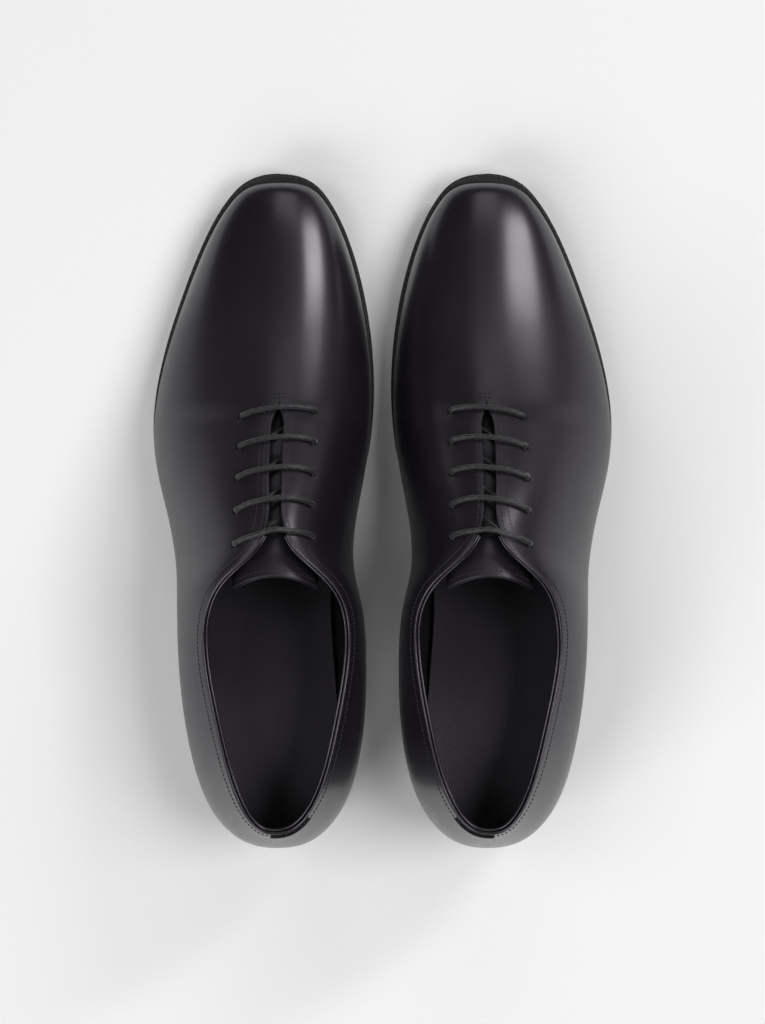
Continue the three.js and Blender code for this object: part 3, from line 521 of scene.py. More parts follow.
def tube(path: Array, radius: Array | float, sides: int = 16,
         seed: Sequence[float] = (0, 0, 1)) -> bmesh.types.BMesh:
    """A closed round tube along a path; its UV map is turns round it and millimetres along it."""
    _, first, second = frames_along(path, np.array(seed, float))
    radius = np.broadcast_to(np.asarray(radius, float), (len(path),))
    along = lengths_along(path)

    def ring(turn: Array, at: Array) -> Array:
        """Points round the path at each turn and distance."""
        k = np.rint(np.interp(at, along, np.arange(len(path)))).astype(int)
        angle = 2 * np.pi * turn
        offset = np.cos(angle)[:, None] * first[k] + np.sin(angle)[:, None] * second[k]
        return path[k] + offset * radius[k][:, None]

    bm = mapped_grid(np.linspace(0, 1, sides + 1), along, ring)
    close_holes(bm)
    return bm


def rounded_ends(count: int, radius: float, step: float) -> Array:
    """Radii along a tube of evenly spaced points that is rounded off at both ends."""
    reach = np.minimum(np.arange(count), np.arange(count)[::-1]) * step
    inside = np.clip(1 - reach / radius, 0, 0.98)
    return radius * np.sqrt(1 - inside ** 2)


def close_holes(bm: bmesh.types.BMesh) -> None:
    """Fills every open rim and turns all faces outward."""
    rim = [edge for edge in bm.edges if edge.is_boundary]
    bmesh.ops.holes_fill(bm, edges=rim, sides=0)
    bmesh.ops.recalc_face_normals(bm, faces=bm.faces)


def add_modifier(piece: bpy.types.Object, kind: str, **settings: object) -> None:
    """Adds a modifier with its settings."""
    modifier = piece.modifiers.new(kind.title(), kind)
    for name, value in settings.items():
        setattr(modifier, name, value)


def soften(piece: bpy.types.Object, width: float, segments: int = 3) -> None:
    """Rounds a piece's sharp edges by a width in millimetres."""
    add_modifier(piece, "BEVEL", width=width * MM, segments=segments, limit_method="ANGLE",
                 angle_limit=math.radians(50), use_clamp_overlap=True)


def thicken(piece: bpy.types.Object, thickness: float, rim: float = 0.0) -> None:
    """Gives a sheet its thickness inward, in millimetres, and rounds its rim."""
    add_modifier(piece, "SOLIDIFY", thickness=thickness * MM, offset=-1, use_even_offset=False)
    if rim:
        soften(piece, rim, 2)


# ---- Finishes ----------------------------------------------------------------------------------
class Graph:
    """A node tree with short ways to add and join nodes."""

    def __init__(self, tree: bpy.types.NodeTree) -> None:
        """Keeps the tree."""
        self.tree = tree

    def add(self, kind: str, **settings: object) -> bpy.types.Node:
        """Adds a node; settings are its properties."""
        node = self.tree.nodes.new(kind)
        for name, value in settings.items():
            setattr(node, name, value)
        return node

    def join(self, source: bpy.types.NodeSocket, target: bpy.types.NodeSocket) -> None:
        """Links two sockets."""
        self.tree.links.new(source, target)

    def feed(self, target: bpy.types.NodeSocket, value: object) -> None:
        """Links a socket or sets a plain value."""
        if isinstance(value, bpy.types.NodeSocket):
            self.join(value, target)
        elif value is not None:
            target.default_value = value

    def math(self, operation: str, a: object, b: object = None, c: object = None,
             clamp: bool = False) -> bpy.types.NodeSocket:
        """A Math node's output."""
        node = self.add("ShaderNodeMath", operation=operation, use_clamp=clamp)
        for socket, value in zip(node.inputs, (a, b, c)):
            self.feed(socket, value)
        return node.outputs[0]

    def noise(self, vector: bpy.types.NodeSocket, scale: object, detail: float = 3,
              roughness: float = 0.5) -> bpy.types.NodeSocket:
        """A Noise Texture's value."""
        node = self.add("ShaderNodeTexNoise")
        self.join(vector, node.inputs["Vector"])
        self.feed(node.inputs["Scale"], scale)
        node.inputs["Detail"].default_value = detail
        node.inputs["Roughness"].default_value = roughness
        return node.outputs[0]

    def cells(self, vector: bpy.types.NodeSocket, scale: object, feature: str = "F1") -> bpy.types.NodeSocket:
        """A Voronoi Texture's distance."""
        node = self.add("ShaderNodeTexVoronoi", feature=feature)
        self.join(vector, node.inputs["Vector"])
        self.feed(node.inputs["Scale"], scale)
        return node.outputs["Distance"]

    def spread(self, value: object, low: object, high: object, to_low: object = 0.0,
               to_high: object = 1.0) -> bpy.types.NodeSocket:
        """A smooth step of a value from one range to another."""
        node = self.add("ShaderNodeMapRange", interpolation_type="SMOOTHSTEP")
        for socket, given in zip(node.inputs, (value, low, high, to_low, to_high)):
            self.feed(socket, given)
        return node.outputs[0]

    def mix(self, factor: object, first: object, second: object) -> bpy.types.NodeSocket:
        """A colour mix."""
        node = self.add("ShaderNodeMix", data_type="RGBA")
        for name, value in ((0, factor), (6, first), (7, second)):
            self.feed(node.inputs[name], value)
        return node.outputs[2]


class EffectGroup:
    """A shader node group with named inputs and outputs, built once and placed in many finishes."""

    def __init__(self, name: str, inputs: dict[str, float], outputs: Sequence[str],
                 build: Callable[[Graph, dict], dict]) -> None:
        """Builds the group.

        Args:
            name: What the effect is.
            inputs: Number inputs and their defaults; a Vector input comes first.
            outputs: Number outputs.
            build: Lays the nodes, from the inputs' sockets to the outputs' sockets.
        """
        self.tree = bpy.data.node_groups.new(name, "ShaderNodeTree")
        self.tree.interface.new_socket("Vector", in_out="INPUT", socket_type="NodeSocketVector")
        for key, default in inputs.items():
            socket = self.tree.interface.new_socket(key, in_out="INPUT", socket_type="NodeSocketFloat")
            socket.default_value = default
        for key in outputs:
            self.tree.interface.new_socket(key, in_out="OUTPUT", socket_type="NodeSocketFloat")
        graph = Graph(self.tree)
        start, end = graph.add("NodeGroupInput"), graph.add("NodeGroupOutput")
        for key, value in build(graph, {socket.name: socket for socket in start.outputs}).items():
            graph.feed(end.inputs[key], value)

    def use(self, graph: Graph, vector: bpy.types.NodeSocket, **values: object) -> dict:
        """Places the group in a finish and returns its outputs by name."""
        node = graph.add("ShaderNodeGroup", node_tree=self.tree)
        graph.join(vector, node.inputs["Vector"])
        for key, value in values.items():
            graph.feed(node.inputs[key.replace("_", " ")], value)
        return {socket.name: socket for socket in node.outputs}


def _grain(g: Graph, i: dict) -> dict:
    """Fine hide grain: soft pebbles with hair pores between them."""
    size = g.math("DIVIDE", 1000.0, i["Size"])
    pebble = g.cells(i["Vector"], size, "SMOOTH_F1")
    pores = g.spread(g.cells(i["Vector"], g.math("MULTIPLY", size, 0.55)), 0.05, 0.16)
    uneven = g.noise(i["Vector"], g.math("MULTIPLY", size, 0.2), 4)
    height = g.math("ADD", g.math("MULTIPLY", pebble, -0.8), g.math("MULTIPLY", pores, i["Pores"]))
    return {"Height": g.math("ADD", height, g.math("MULTIPLY", uneven, 0.6)), "Pores": pores}


def _burnish(g: Graph, i: dict) -> dict:
    """Cloudy tone of dye and cream: wide patches with fainter small ones."""
    wide = g.noise(i["Vector"], g.math("DIVIDE", 1000.0, i["Size"]), 3, 0.55)
    fine = g.noise(i["Vector"], g.math("DIVIDE", 6000.0, i["Size"]), 2, 0.5)
    both = g.math("ADD", g.math("MULTIPLY", wide, 0.72), g.math("MULTIPLY", fine, 0.28))
    return {"Tone": g.spread(both, 0.3, 0.7)}


def _stroke(g: Graph, i: dict) -> dict:
    """Fine streaks, as a brush or a sanding belt leaves them, along the vector's X."""
    split = g.add("ShaderNodeMapping")
    g.join(i["Vector"], split.inputs["Vector"])
    split.inputs["Scale"].default_value = (0.06, 1, 1)
    fine = g.noise(split.outputs[0], g.math("DIVIDE", 1000.0, i["Size"]), 3, 0.6)
    return {"Height": fine, "Streak": g.spread(fine, 0.35, 0.65)}


def _braid(g: Graph, i: dict) -> dict:
    """Round braid on a tube's own map: crossing strands, lifted by turns, and a painted shade that darkens the valleys
    between them.
    """
    split = g.add("ShaderNodeSeparateXYZ")
    g.join(i["Vector"], split.inputs[0])
    turns = g.math("MULTIPLY", split.outputs["X"], i["Strands"])
    along = g.math("DIVIDE", split.outputs["Y"], i["Pitch"])
    ridges = []
    for operation in ("ADD", "SUBTRACT"):
        wave = g.math("SINE", g.math("MULTIPLY", g.math(operation, turns, along), 2 * math.pi))
        ridges.append(g.math("MULTIPLY_ADD", wave, 0.5, 0.5))
    over = g.math("MAXIMUM", *ridges)
    # The second output is painted shade: it darkens the colour in the valleys between the strands.
    return {"Height": over, "Valley": g.math("SUBTRACT", 1.0, over, clamp=True)}


class Effects:
    """The effects that several finishes share."""

    def __init__(self) -> None:
        """Builds each group."""
        self.grain = EffectGroup("hide_grain", {"Size": 0.6, "Pores": 0.3}, ("Height", "Pores"), _grain)
        self.burnish = EffectGroup("burnished_tone", {"Size": 40.0}, ("Tone",), _burnish)
        self.stroke = EffectGroup("fine_streaks", {"Size": 0.5}, ("Height", "Streak"), _stroke)
        self.braid = EffectGroup("round_braid", {"Strands": 4.0, "Pitch": 3.0}, ("Height", "Valley"), _braid)


class Wear(Enum):
    """Which rubbing a leather shows along its edge."""

    NONE = 0
    RIM = 1


@dataclass(frozen=True)
class Leather:
    """Dyed leather: burnished tone, fine grain, and a waxed surface."""

    name: str
    deep: tuple[float, float, float]
    light: tuple[float, float, float]
    grain_size: float = 0.55
    grain_depth: float = 0.02
    roughness: float = 0.3
    coat: float = 0.0
    coat_roughness: float = 0.2
    patches: float = 38.0
    pores: float = 0.3
    shine: bool = False
    wear: Wear = Wear.NONE

    def build(self, effects: Effects) -> bpy.types.Material:
        """Makes the material."""
        material, g, shader = new_material(self.name)
        position = g.add("ShaderNodeTexCoord").outputs["Object"]
        tone = effects.burnish.use(g, position, Size=self.patches)["Tone"]
        grain = effects.grain.use(g, position, Size=self.grain_size, Pores=self.pores)
        colour = g.mix(tone, (*self.deep, 1), (*self.light, 1))
        rough = g.spread(tone, 0.0, 1.0, self.roughness * 1.05, self.roughness * 0.95)
        height = g.math("MULTIPLY", grain["Height"], self.grain_depth)
        if self.shine:
            polish = g.add("ShaderNodeAttribute", attribute_name="shine").outputs["Fac"]
            rough = g.math("SUBTRACT", rough, g.math("MULTIPLY", polish, 0.09))
            g.join(g.math("MULTIPLY_ADD", polish, 0.45, self.coat), shader.inputs["Coat Weight"])
            height = g.math("MULTIPLY", height, g.math("SUBTRACT", 1.0, g.math("MULTIPLY", polish, 0.15)))
        else:
            shader.inputs["Coat Weight"].default_value = self.coat
        shader.inputs["Coat Roughness"].default_value = self.coat_roughness
        shader.inputs["Specular Tint"].default_value = (0.97, 0.9, 1.0, 1)
        if self.wear is Wear.RIM:
            edge = g.add("ShaderNodeAttribute", attribute_name="edge_mm").outputs["Fac"]
            ragged = g.math("ADD", edge, g.math("MULTIPLY", g.noise(position, 160, 2), 0.5))
            rub = g.spread(ragged, 0.4, 1.5, 0.3, 0.0)
            colour = g.mix(rub, colour, (*(2.1 * c for c in self.light), 1))
            rough = g.math("ADD", rough, g.math("MULTIPLY", rub, 0.12))
        finish_material(g, shader, colour, rough, height)
        return material


def new_material(name: str) -> tuple[bpy.types.Material, Graph, bpy.types.Node]:
    """An empty material, its graph and its Principled shader."""
    material = bpy.data.materials.new(name)
    material.use_nodes = True
    return material, Graph(material.node_tree), material.node_tree.nodes["Principled BSDF"]


def finish_material(g: Graph, shader: bpy.types.Node, colour: object, rough: object, height: object,
                    distance: float = 0.001) -> None:
    """Joins colour, roughness and a height in millimetres to a shader."""
    g.feed(shader.inputs["Base Color"], colour)
    g.feed(shader.inputs["Roughness"], rough)
    bump = g.add("ShaderNodeBump")
    bump.inputs["Distance"].default_value = distance
    bump.inputs["Strength"].default_value = 1.0
    g.feed(bump.inputs["Height"], height)
    g.join(bump.outputs[0], shader.inputs["Normal"])


@dataclass(frozen=True)
class SoleEdge:
    """Leather sole and heel edges: stained, ironed with wax, with the hide's layers showing faintly."""

    name: str
    deep: tuple[float, float, float] = (0.005, 0.0045, 0.0055)
    light: tuple[float, float, float] = (0.012, 0.011, 0.0125)
    under: tuple[float, float, float] = (0.018, 0.016, 0.018)
    roughness: float = 0.3
    coat: float = 0.2

    def build(self, effects: Effects) -> bpy.types.Material:
        """Makes the material, with a duller underside."""
        material, g, shader = new_material(self.name)
        position = g.add("ShaderNodeTexCoord").outputs["Object"]
        layers = g.add("ShaderNodeMapping")
        layers.inputs["Scale"].default_value = (0.05, 0.05, 1)
        g.join(position, layers.inputs["Vector"])
        fibre = g.noise(layers.outputs[0], 1600, 3, 0.6)
        tone = effects.burnish.use(g, position, Size=14)["Tone"]
        facing = g.add("ShaderNodeSeparateXYZ")
        g.join(g.add("ShaderNodeNewGeometry").outputs["Normal"], facing.inputs[0])
        tread = g.spread(facing.outputs["Z"], -0.9, -0.7, 1.0, 0.0)
        colour = g.mix(g.math("MULTIPLY", tone, fibre), (*self.deep, 1), (*self.light, 1))
        colour = g.mix(tread, colour, (*self.under, 1))
        rough = g.math("ADD", g.spread(fibre, 0.3, 0.7, self.roughness - 0.05, self.roughness + 0.08),
                       g.math("MULTIPLY", tread, 0.22))
        shader.inputs["Coat Weight"].default_value = self.coat
        shader.inputs["Coat Roughness"].default_value = 0.25
        finish_material(g, shader, colour, rough, g.math("MULTIPLY", fibre, 0.05))
        return material


@dataclass(frozen=True)
class Thread:
    """Waxed thread or round lace: crossing strands on the piece's own map, with painted shade in the valleys between
    them.
    """

    name: str
    deep: tuple[float, float, float]
    light: tuple[float, float, float]
    strands: float
    pitch: float
    depth: float
    roughness: float = 0.42
    sheen: float = 0.25

    def build(self, effects: Effects) -> bpy.types.Material:
        """Makes the material."""
        material, g, shader = new_material(self.name)
        coords = g.add("ShaderNodeTexCoord")
        braid = effects.braid.use(g, coords.outputs["UV"], Strands=self.strands, Pitch=self.pitch)
        fuzz = g.noise(coords.outputs["Object"], 5200, 2)
        # Painted shade: the braid's valleys take the deep colour, standing in for the shade between the strands.
        colour = g.mix(braid["Valley"], (*self.light, 1), (*self.deep, 1))
        rough = g.spread(fuzz, 0.3, 0.7, self.roughness - 0.06, self.roughness + 0.1)
        height = g.math("ADD", g.math("MULTIPLY", braid["Height"], self.depth), g.math("MULTIPLY", fuzz, 0.03))
        shader.inputs["Sheen Weight"].default_value = self.sheen
        shader.inputs["Sheen Roughness"].default_value = 0.4
        finish_material(g, shader, colour, rough, height)
        return material


@dataclass(frozen=True)
class Grit:
    """Rubber, cork or board: specks of one tone in another."""

    name: str
    base: tuple[float, float, float]
    speck: tuple[float, float, float]
    size: float
    depth: float
    roughness: float

    def build(self, effects: Effects) -> bpy.types.Material:
        """Makes the material."""
        material, g, shader = new_material(self.name)
        position = g.add("ShaderNodeTexCoord").outputs["Object"]
        cells = g.cells(position, 1000 / self.size)
        tone = effects.burnish.use(g, position, Size=18)["Tone"]
        specks = g.math("MULTIPLY", g.spread(cells, 0.15, 0.5, 1.0, 0.0), tone)
        rough = g.spread(tone, 0.0, 1.0, self.roughness - 0.06, self.roughness + 0.06)
        finish_material(g, shader, g.mix(specks, (*self.base, 1), (*self.speck, 1)), rough,
                        g.math("MULTIPLY", cells, self.depth))
        return material


@dataclass(frozen=True)
class SpringSteel:
    """Rolled shank steel with fine streaks."""

    name: str = "rolled_shank_steel"

    def build(self, effects: Effects) -> bpy.types.Material:
        """Makes the material."""
        material, g, shader = new_material(self.name)
        position = g.add("ShaderNodeTexCoord").outputs["Object"]
        streaks = effects.stroke.use(g, position, Size=0.4)
        shader.inputs["Metallic"].default_value = 1.0
        colour = g.mix(streaks["Streak"], (0.35, 0.36, 0.38, 1), (0.55, 0.56, 0.58, 1))
        finish_material(g, shader, colour, g.spread(streaks["Streak"], 0.0, 1.0, 0.3, 0.45),
                        g.math("MULTIPLY", streaks["Height"], 0.02))
        return material


@dataclass(frozen=True)
class LaceTip:
    """Shrunk film on the lace's end: satin, with the wrap's faint overlap."""

    name: str = "lace_tip_film"

    def build(self, effects: Effects) -> bpy.types.Material:
        """Makes the material."""
        material, g, shader = new_material(self.name)
        coords = g.add("ShaderNodeTexCoord")
        wrap = effects.braid.use(g, coords.outputs["UV"], Strands=1.0, Pitch=40.0)
        tone = effects.burnish.use(g, coords.outputs["Object"], Size=6)["Tone"]
        shader.inputs["Coat Weight"].default_value = 0.4
        finish_material(g, shader, g.mix(tone, (0.008, 0.008, 0.009, 1), (0.02, 0.02, 0.022, 1)),
                        g.spread(tone, 0.0, 1.0, 0.2, 0.32), g.math("MULTIPLY", wrap["Height"], 0.05))
        return material


class Finishes:
    """Every finish of the pair, built once."""

    def __init__(self) -> None:
        """Builds the shared effects and the materials."""
        effects = Effects()
        self.upper = Leather("polished_calf", (0.0062, 0.0050, 0.0070), (0.0125, 0.0105, 0.0138), grain_depth=0.018,
                             roughness=0.39, coat=0.12, coat_roughness=0.22, shine=True,
                             wear=Wear.RIM).build(effects)
        self.bead = Leather("rolled_calf_bead", (0.006, 0.005, 0.0065), (0.013, 0.011, 0.014), grain_depth=0.01,
                            roughness=0.28, coat=0.3, patches=12).build(effects)
        self.tongue = Leather("tongue_calf", (0.010, 0.0085, 0.011), (0.019, 0.0165, 0.0205), grain_depth=0.02,
                              roughness=0.4, coat=0.08, patches=20).build(effects)
        self.lining = Leather("smooth_lining", (0.005, 0.0042, 0.0055), (0.009, 0.0078, 0.0095), grain_size=0.7,
                              grain_depth=0.03, roughness=0.45, patches=30).build(effects)
        self.sock = Leather("grained_sock", (0.0140, 0.0122, 0.0148), (0.0240, 0.0210, 0.0246), grain_size=0.85,
                            grain_depth=0.06, roughness=0.46, patches=60).build(effects)
        self.stiffener = Leather("natural_stiffener", (0.30, 0.20, 0.12), (0.44, 0.32, 0.21), grain_size=0.5,
                                 grain_depth=0.06, roughness=0.7, patches=15).build(effects)
        self.insole = Leather("vegetable_tanned_insole", (0.36, 0.24, 0.14), (0.48, 0.34, 0.21), grain_size=0.8,
                              grain_depth=0.05, roughness=0.65, patches=25).build(effects)
        self.sole = SoleEdge("waxed_sole").build(effects)
        self.heel = SoleEdge("waxed_heel_stack", roughness=0.28).build(effects)
        self.welt = SoleEdge("waxed_welt", (0.003, 0.0028, 0.0032), (0.007, 0.0064, 0.007), roughness=0.5,
                             coat=0.0).build(effects)
        self.rubber = Grit("heel_rubber", (0.012, 0.012, 0.013), (0.025, 0.025, 0.026), 1.2, 0.08, 0.62).build(effects)
        self.cork = Grit("granulated_cork", (0.35, 0.2, 0.09), (0.12, 0.06, 0.03), 2.5, 0.5, 0.85).build(effects)
        self.steel = SpringSteel().build(effects)
        self.thread = Thread("upper_thread", (0.004, 0.0035, 0.0045), (0.016, 0.014, 0.017), 1.0, 0.6,
                             0.06).build(effects)
        self.welt_thread = Thread("welt_thread", (0.003, 0.003, 0.0035), (0.011, 0.010, 0.011), 1.0, 0.9,
                                  0.1).build(effects)
        self.lace = Thread("waxed_round_lace", (0.004, 0.0036, 0.0042), (0.019, 0.017, 0.0195), 6.0, 3.6, 0.1,
                           0.38).build(effects)
        self.tip = LaceTip().build(effects)


# ---- One shoe's sub-assemblies -----------------------------------------------------------------
def stitch_row(points: Array, normals: Array, pitch: float, fill: float,
               radius: float) -> bmesh.types.BMesh:
    """Stitches along a line on a surface.

    Args:
        points: The line, in millimetres.
        normals: Outward unit normals at its points.
        pitch: Distance between stitches.
        fill: Share of the pitch that the thread shows for.
        radius: Half the thread's thickness.

    Returns:
        A mesh of small closed grains of thread.
    """
    bm = bmesh.new()
    along = lengths_along(points)
    count = max(1, round(along[-1] / pitch))
    centres = (np.arange(count) + 0.5) / count * along[-1]
    half = along[-1] / count * fill / 2

    def at(values: Array, where: float) -> Vector:
        """The values at a distance along the line."""
        return Vector([float(np.interp(where, along, values[:, k])) for k in range(3)])

    for centre in centres:
        ahead = (at(points, centre + half) - at(points, centre - half)).normalized()
        out = at(normals, centre)
        out = (out - ahead * out.dot(ahead)).normalized()
        turn = Matrix((ahead, out.cross(ahead), out)).transposed().to_4x4()
        shape = Matrix.Translation(at(points, centre)) @ turn @ Matrix.Diagonal(
            (half, radius, radius, 1))
        bmesh.ops.create_uvsphere(bm, u_segments=6, v_segments=5, radius=1, matrix=shape @ LYING)
    return bm


LYING = Matrix.Rotation(math.pi / 2, 4, "Y")


def joined(meshes: Sequence[bmesh.types.BMesh]) -> bmesh.types.BMesh:
    """All the meshes as one; the others are freed."""
    whole = bmesh.new()
    carrier = bpy.data.meshes.new("carrier")
    for bm in meshes:
        bm.to_mesh(carrier)
        bm.free()
        whole.from_mesh(carrier)
    bpy.data.meshes.remove(carrier)
    return whole


class TopEdge:
    """Distances down from the upper's top edge, along each section."""

    STEPS = np.linspace(1, 0.45, 90)

    @classmethod
    def reach(cls, w: float) -> Array:
        """Distances from the top edge at STEPS, at one w."""
        return lengths_along(LAST.raw(np.full(90, w), cls.STEPS))

    @classmethod
    def v_at(cls, w: float, distance: float) -> float:
        """The v that lies a distance below the top edge."""
        return float(np.interp(distance, cls.reach(w), cls.STEPS))

    @classmethod
    def distance(cls, w: Array, v: Array) -> Array:
        """How far below the top edge each place lies; far more than it is beyond the throat."""
        known: dict[float, Array] = {}
        out = np.empty(len(w))
        for k, (at, height) in enumerate(zip(w, v)):
            key = round(float(at), 6)
            if key not in known:
                known[key] = cls.reach(key)
            out[k] = np.interp(-height, -cls.STEPS, known[key])
        return out + 60 * smoothstep(np.abs(w), LAST.throat - 0.003, LAST.throat + 0.003)

    @classmethod
    def line(cls, w: Array, distance: Array | float, lift: float = 0.0) -> tuple[Array, Array]:
        """Points and normals of a line that keeps a distance from the top edge."""
        distance = np.broadcast_to(np.asarray(distance, float), w.shape)
        v = np.array([cls.v_at(a, d) for a, d in zip(w, distance)])
        return LAST.point(w, v, -lift), LAST.normal(w, v)


@dataclass
class Uppers:
    """The wholecut upper with its layers, edge bead, heel tab and stitching."""

    shoe: Shoe
    finishes: Finishes
    hole_radius: float = 1.75
    facing_row: float = 2.3
    topline_row: float = 4.0
    thread_radius: float = 0.25
    tab_end_x: float = -14.5
    tab_depth: float = 13.5
    tab_lap: float = 0.006

    def rows(self, fine: float = 1.0) -> Array:
        """The w of the grid's columns: closest along the facings."""
        t, f = LAST.throat, LAST.facing_top
        half = np.concatenate([
            np.linspace(0, f, round(92 / fine), endpoint=False),
            np.linspace(f, t, round(76 / fine), endpoint=False),
            np.linspace(t, LAST.puff, round(44 / fine), endpoint=False),
            LAST.puff + (1 - LAST.puff) * np.sin(np.linspace(0, np.pi / 2, round(34 / fine)))])
        return np.concatenate([-half[:0:-1], half])

    @staticmethod
    def columns(fine: float = 1.0) -> Array:
        """The v of the grid's rows: closest near the top edge."""
        return np.concatenate([np.linspace(0, 0.7, round(24 / fine), endpoint=False),
                               np.linspace(0.7, 1, round(30 / fine))])

    def skin(self, depth: Callable[[Array, Array], Array], fine: float = 1.0,
             across: Array | None = None, up: Array | None = None,
             marks: dict[str, Callable[[Array, Array], Array]] | None = None) -> bmesh.types.BMesh:
        """A sheet that follows the last at a depth, with its eyelet holes."""
        bm = mapped_grid(self.rows(fine) if across is None else across, self.columns(fine) if up is None else up,
                         lambda w, v: LAST.point(w, v, depth(w, v)), merge=0.02, marks=marks)
        self.punch(bm)
        bmesh.ops.reverse_faces(bm, faces=bm.faces)
        return bm

    def punch(self, bm: bmesh.types.BMesh) -> None:
        """Opens round eyelet holes in a sheet."""
        for row in range(EYELET_ROWS):
            for side in Side:
                w, v = INSTEP.locate(*bar_place(row, side.value))
                centre, normal = Vector(LAST.raw([w], [v])[0]), Vector(LAST.normal([w], [v])[0])

                def offset(point: Vector) -> Vector:
                    """A point's arm from the eyelet's axis."""
                    arm = point - centre
                    return arm - normal * arm.dot(normal)

                near = [face for face in bm.faces if (face.calc_center_median() - centre).length < 7]
                inside = [face for face in near if offset(face.calc_center_median()).length < self.hole_radius]
                if not inside:
                    continue
                rim = {vert for face in inside for vert in face.verts
                       if any(other not in inside for other in vert.link_faces)}
                bmesh.ops.delete(bm, geom=inside, context="FACES")
                for vert in rim:
                    if vert.is_valid:
                        arm = offset(vert.co)
                        vert.co += arm.normalized() * (self.hole_radius - arm.length)

    def lining_depth(self, w: Array, v: Array) -> Array:
        """How deep the lining lies: further where a stiffener is under the upper."""
        u = np.abs(w)
        puff = smoothstep(u, LAST.puff - 0.02, LAST.puff)
        counter = (1 - smoothstep(u, LAST.counter, LAST.counter + 0.02)) * (1 - smoothstep(v, 0.74, 0.79))
        stay = (smoothstep(u, LAST.facing_top - 0.012, LAST.facing_top)
                * (1 - smoothstep(u, LAST.throat, LAST.throat + 0.012))
                * smoothstep(v, 0.7, 0.74) * (1 - smoothstep(v, 0.88, 0.92)))
        return STIFFENER_DEPTH + (STIFFENER_THICKNESS + FIT) * np.maximum(np.maximum(puff, counter), stay)

    def build(self) -> None:
        """Makes the upper's pieces."""
        self.build_skins()
        self.build_stiffeners()
        self.build_bead()
        self.build_heel_tab()
        self.build_stitching()

    def build_skins(self) -> None:
        """The upper and its lining."""
        marks = {
            "edge_mm": TopEdge.distance,
            "shine": lambda w, v: np.maximum(smoothstep(LAST.blend(w)[:, 0], 228, 262),
                                             0.6 * (1 - smoothstep(LAST.blend(w)[:, 0], 20, 70))),
        }
        upper = self.shoe.finish(self.skin(lambda w, v: np.zeros_like(w), marks=marks), "upper_skin",
                                 self.finishes.upper, "upper_calf", replaces=["upper"])
        thicken(upper, UPPER_THICKNESS, 0.35)
        lining = self.shoe.finish(self.skin(self.lining_depth, 1.6), "lining_skin",
                                  self.finishes.lining, "lining_leather", replaces=["lining"])
        thicken(lining, LINING_THICKNESS, 0.2)

    def build_stiffeners(self) -> None:
        """The heel counter, toe puff and facing stays between upper and lining."""
        def flat(w: Array, v: Array) -> Array:
            """The stiffeners' depth, the same all over."""
            return np.full_like(w, STIFFENER_DEPTH)

        c, p = LAST.counter, LAST.puff
        toe = -1 + (1 - p) * (1 - np.cos(np.linspace(0, np.pi / 2, 24)))
        regions = {
            "heel_counter": (np.linspace(-c, c, 50), np.linspace(0, 0.74, 22)),
            "facing_stay_outer": (np.linspace(LAST.facing_top, LAST.throat, 60), np.linspace(0.74, 0.88, 16)),
            "facing_stay_inner": (np.linspace(-LAST.throat, -LAST.facing_top, 60), np.linspace(0.74, 0.88, 16)),
        }
        for name, (across, up) in regions.items():
            piece = self.shoe.finish(self.skin(flat, across=across, up=up), f"{name}_board",
                                     self.finishes.stiffener, "stiffener_leather", replaces=[name])
            thicken(piece, STIFFENER_THICKNESS)
        halves = [self.skin(flat, across=side, up=np.linspace(0, 1, 28)) for side in (toe, -toe[::-1])]
        whole = joined(halves)
        bmesh.ops.remove_doubles(whole, verts=whole.verts, dist=0.02)
        piece = self.shoe.finish(whole, "toe_puff_board", self.finishes.stiffener, "stiffener_leather",
                                 replaces=["toe_puff"])
        thicken(piece, STIFFENER_THICKNESS)

    def rim_frame(self, w: Array) -> tuple[Array, Array, Array]:
        """Points of the top edge with the directions beyond it and out of the sheet."""
        top = LAST.raw(w, 1.0)
        in_sheet = top - LAST.raw(w, 0.96)
        along = LAST.raw(w + 0.004, 1.0) - LAST.raw(w - 0.004, 1.0)
        out = np.cross(in_sheet, along)
        out /= np.linalg.norm(out, axis=1, keepdims=True)
        beyond = np.cross(along, out)
        beyond /= np.linalg.norm(beyond, axis=1, keepdims=True)
        return top, beyond, out

    def build_bead(self) -> None:
        """The rolled bead round the topline and the lining's own roll inside it."""
        w = np.linspace(-LAST.facing_top, LAST.facing_top, 260)
        top, beyond, out = self.rim_frame(w)
        outer = tube(top + beyond * 0.35 - out * 0.55, 0.72, 14)
        inner = tube(top + beyond * 0.75 - out * 2.05, 0.62, 12)
        self.shoe.finish(joined([outer, inner]), "topline_roll", self.finishes.bead, "bead_calf",
                         replaces=["topline_bead"])

    def build_heel_tab(self) -> None:
        """The tab over the top of the back seam, which runs a little way along the inner side."""
        at = np.linspace(0.12, 0, 400)
        top_x = LAST.raw(-at, 1.0)[:, 0]
        tip = float(np.interp(-self.tab_end_x, -top_x[::-1], at[::-1]))

        def stand(along: Array) -> Array:
            """The w at a share of the way from the seam to the tip."""
            return self.tab_lap - (tip + self.tab_lap) * along

        def surface(a: Array, b: Array) -> Array:
            """Points of the tab's inner face."""
            along = np.clip(a, 0, 1)
            w = stand(along)
            low = self.tab_reach(along)
            down = 0.9 + (low - 0.9) * b
            v = np.array([TopEdge.v_at(x, d) for x, d in zip(w, down)])
            return LAST.point(w, v, -0.75)

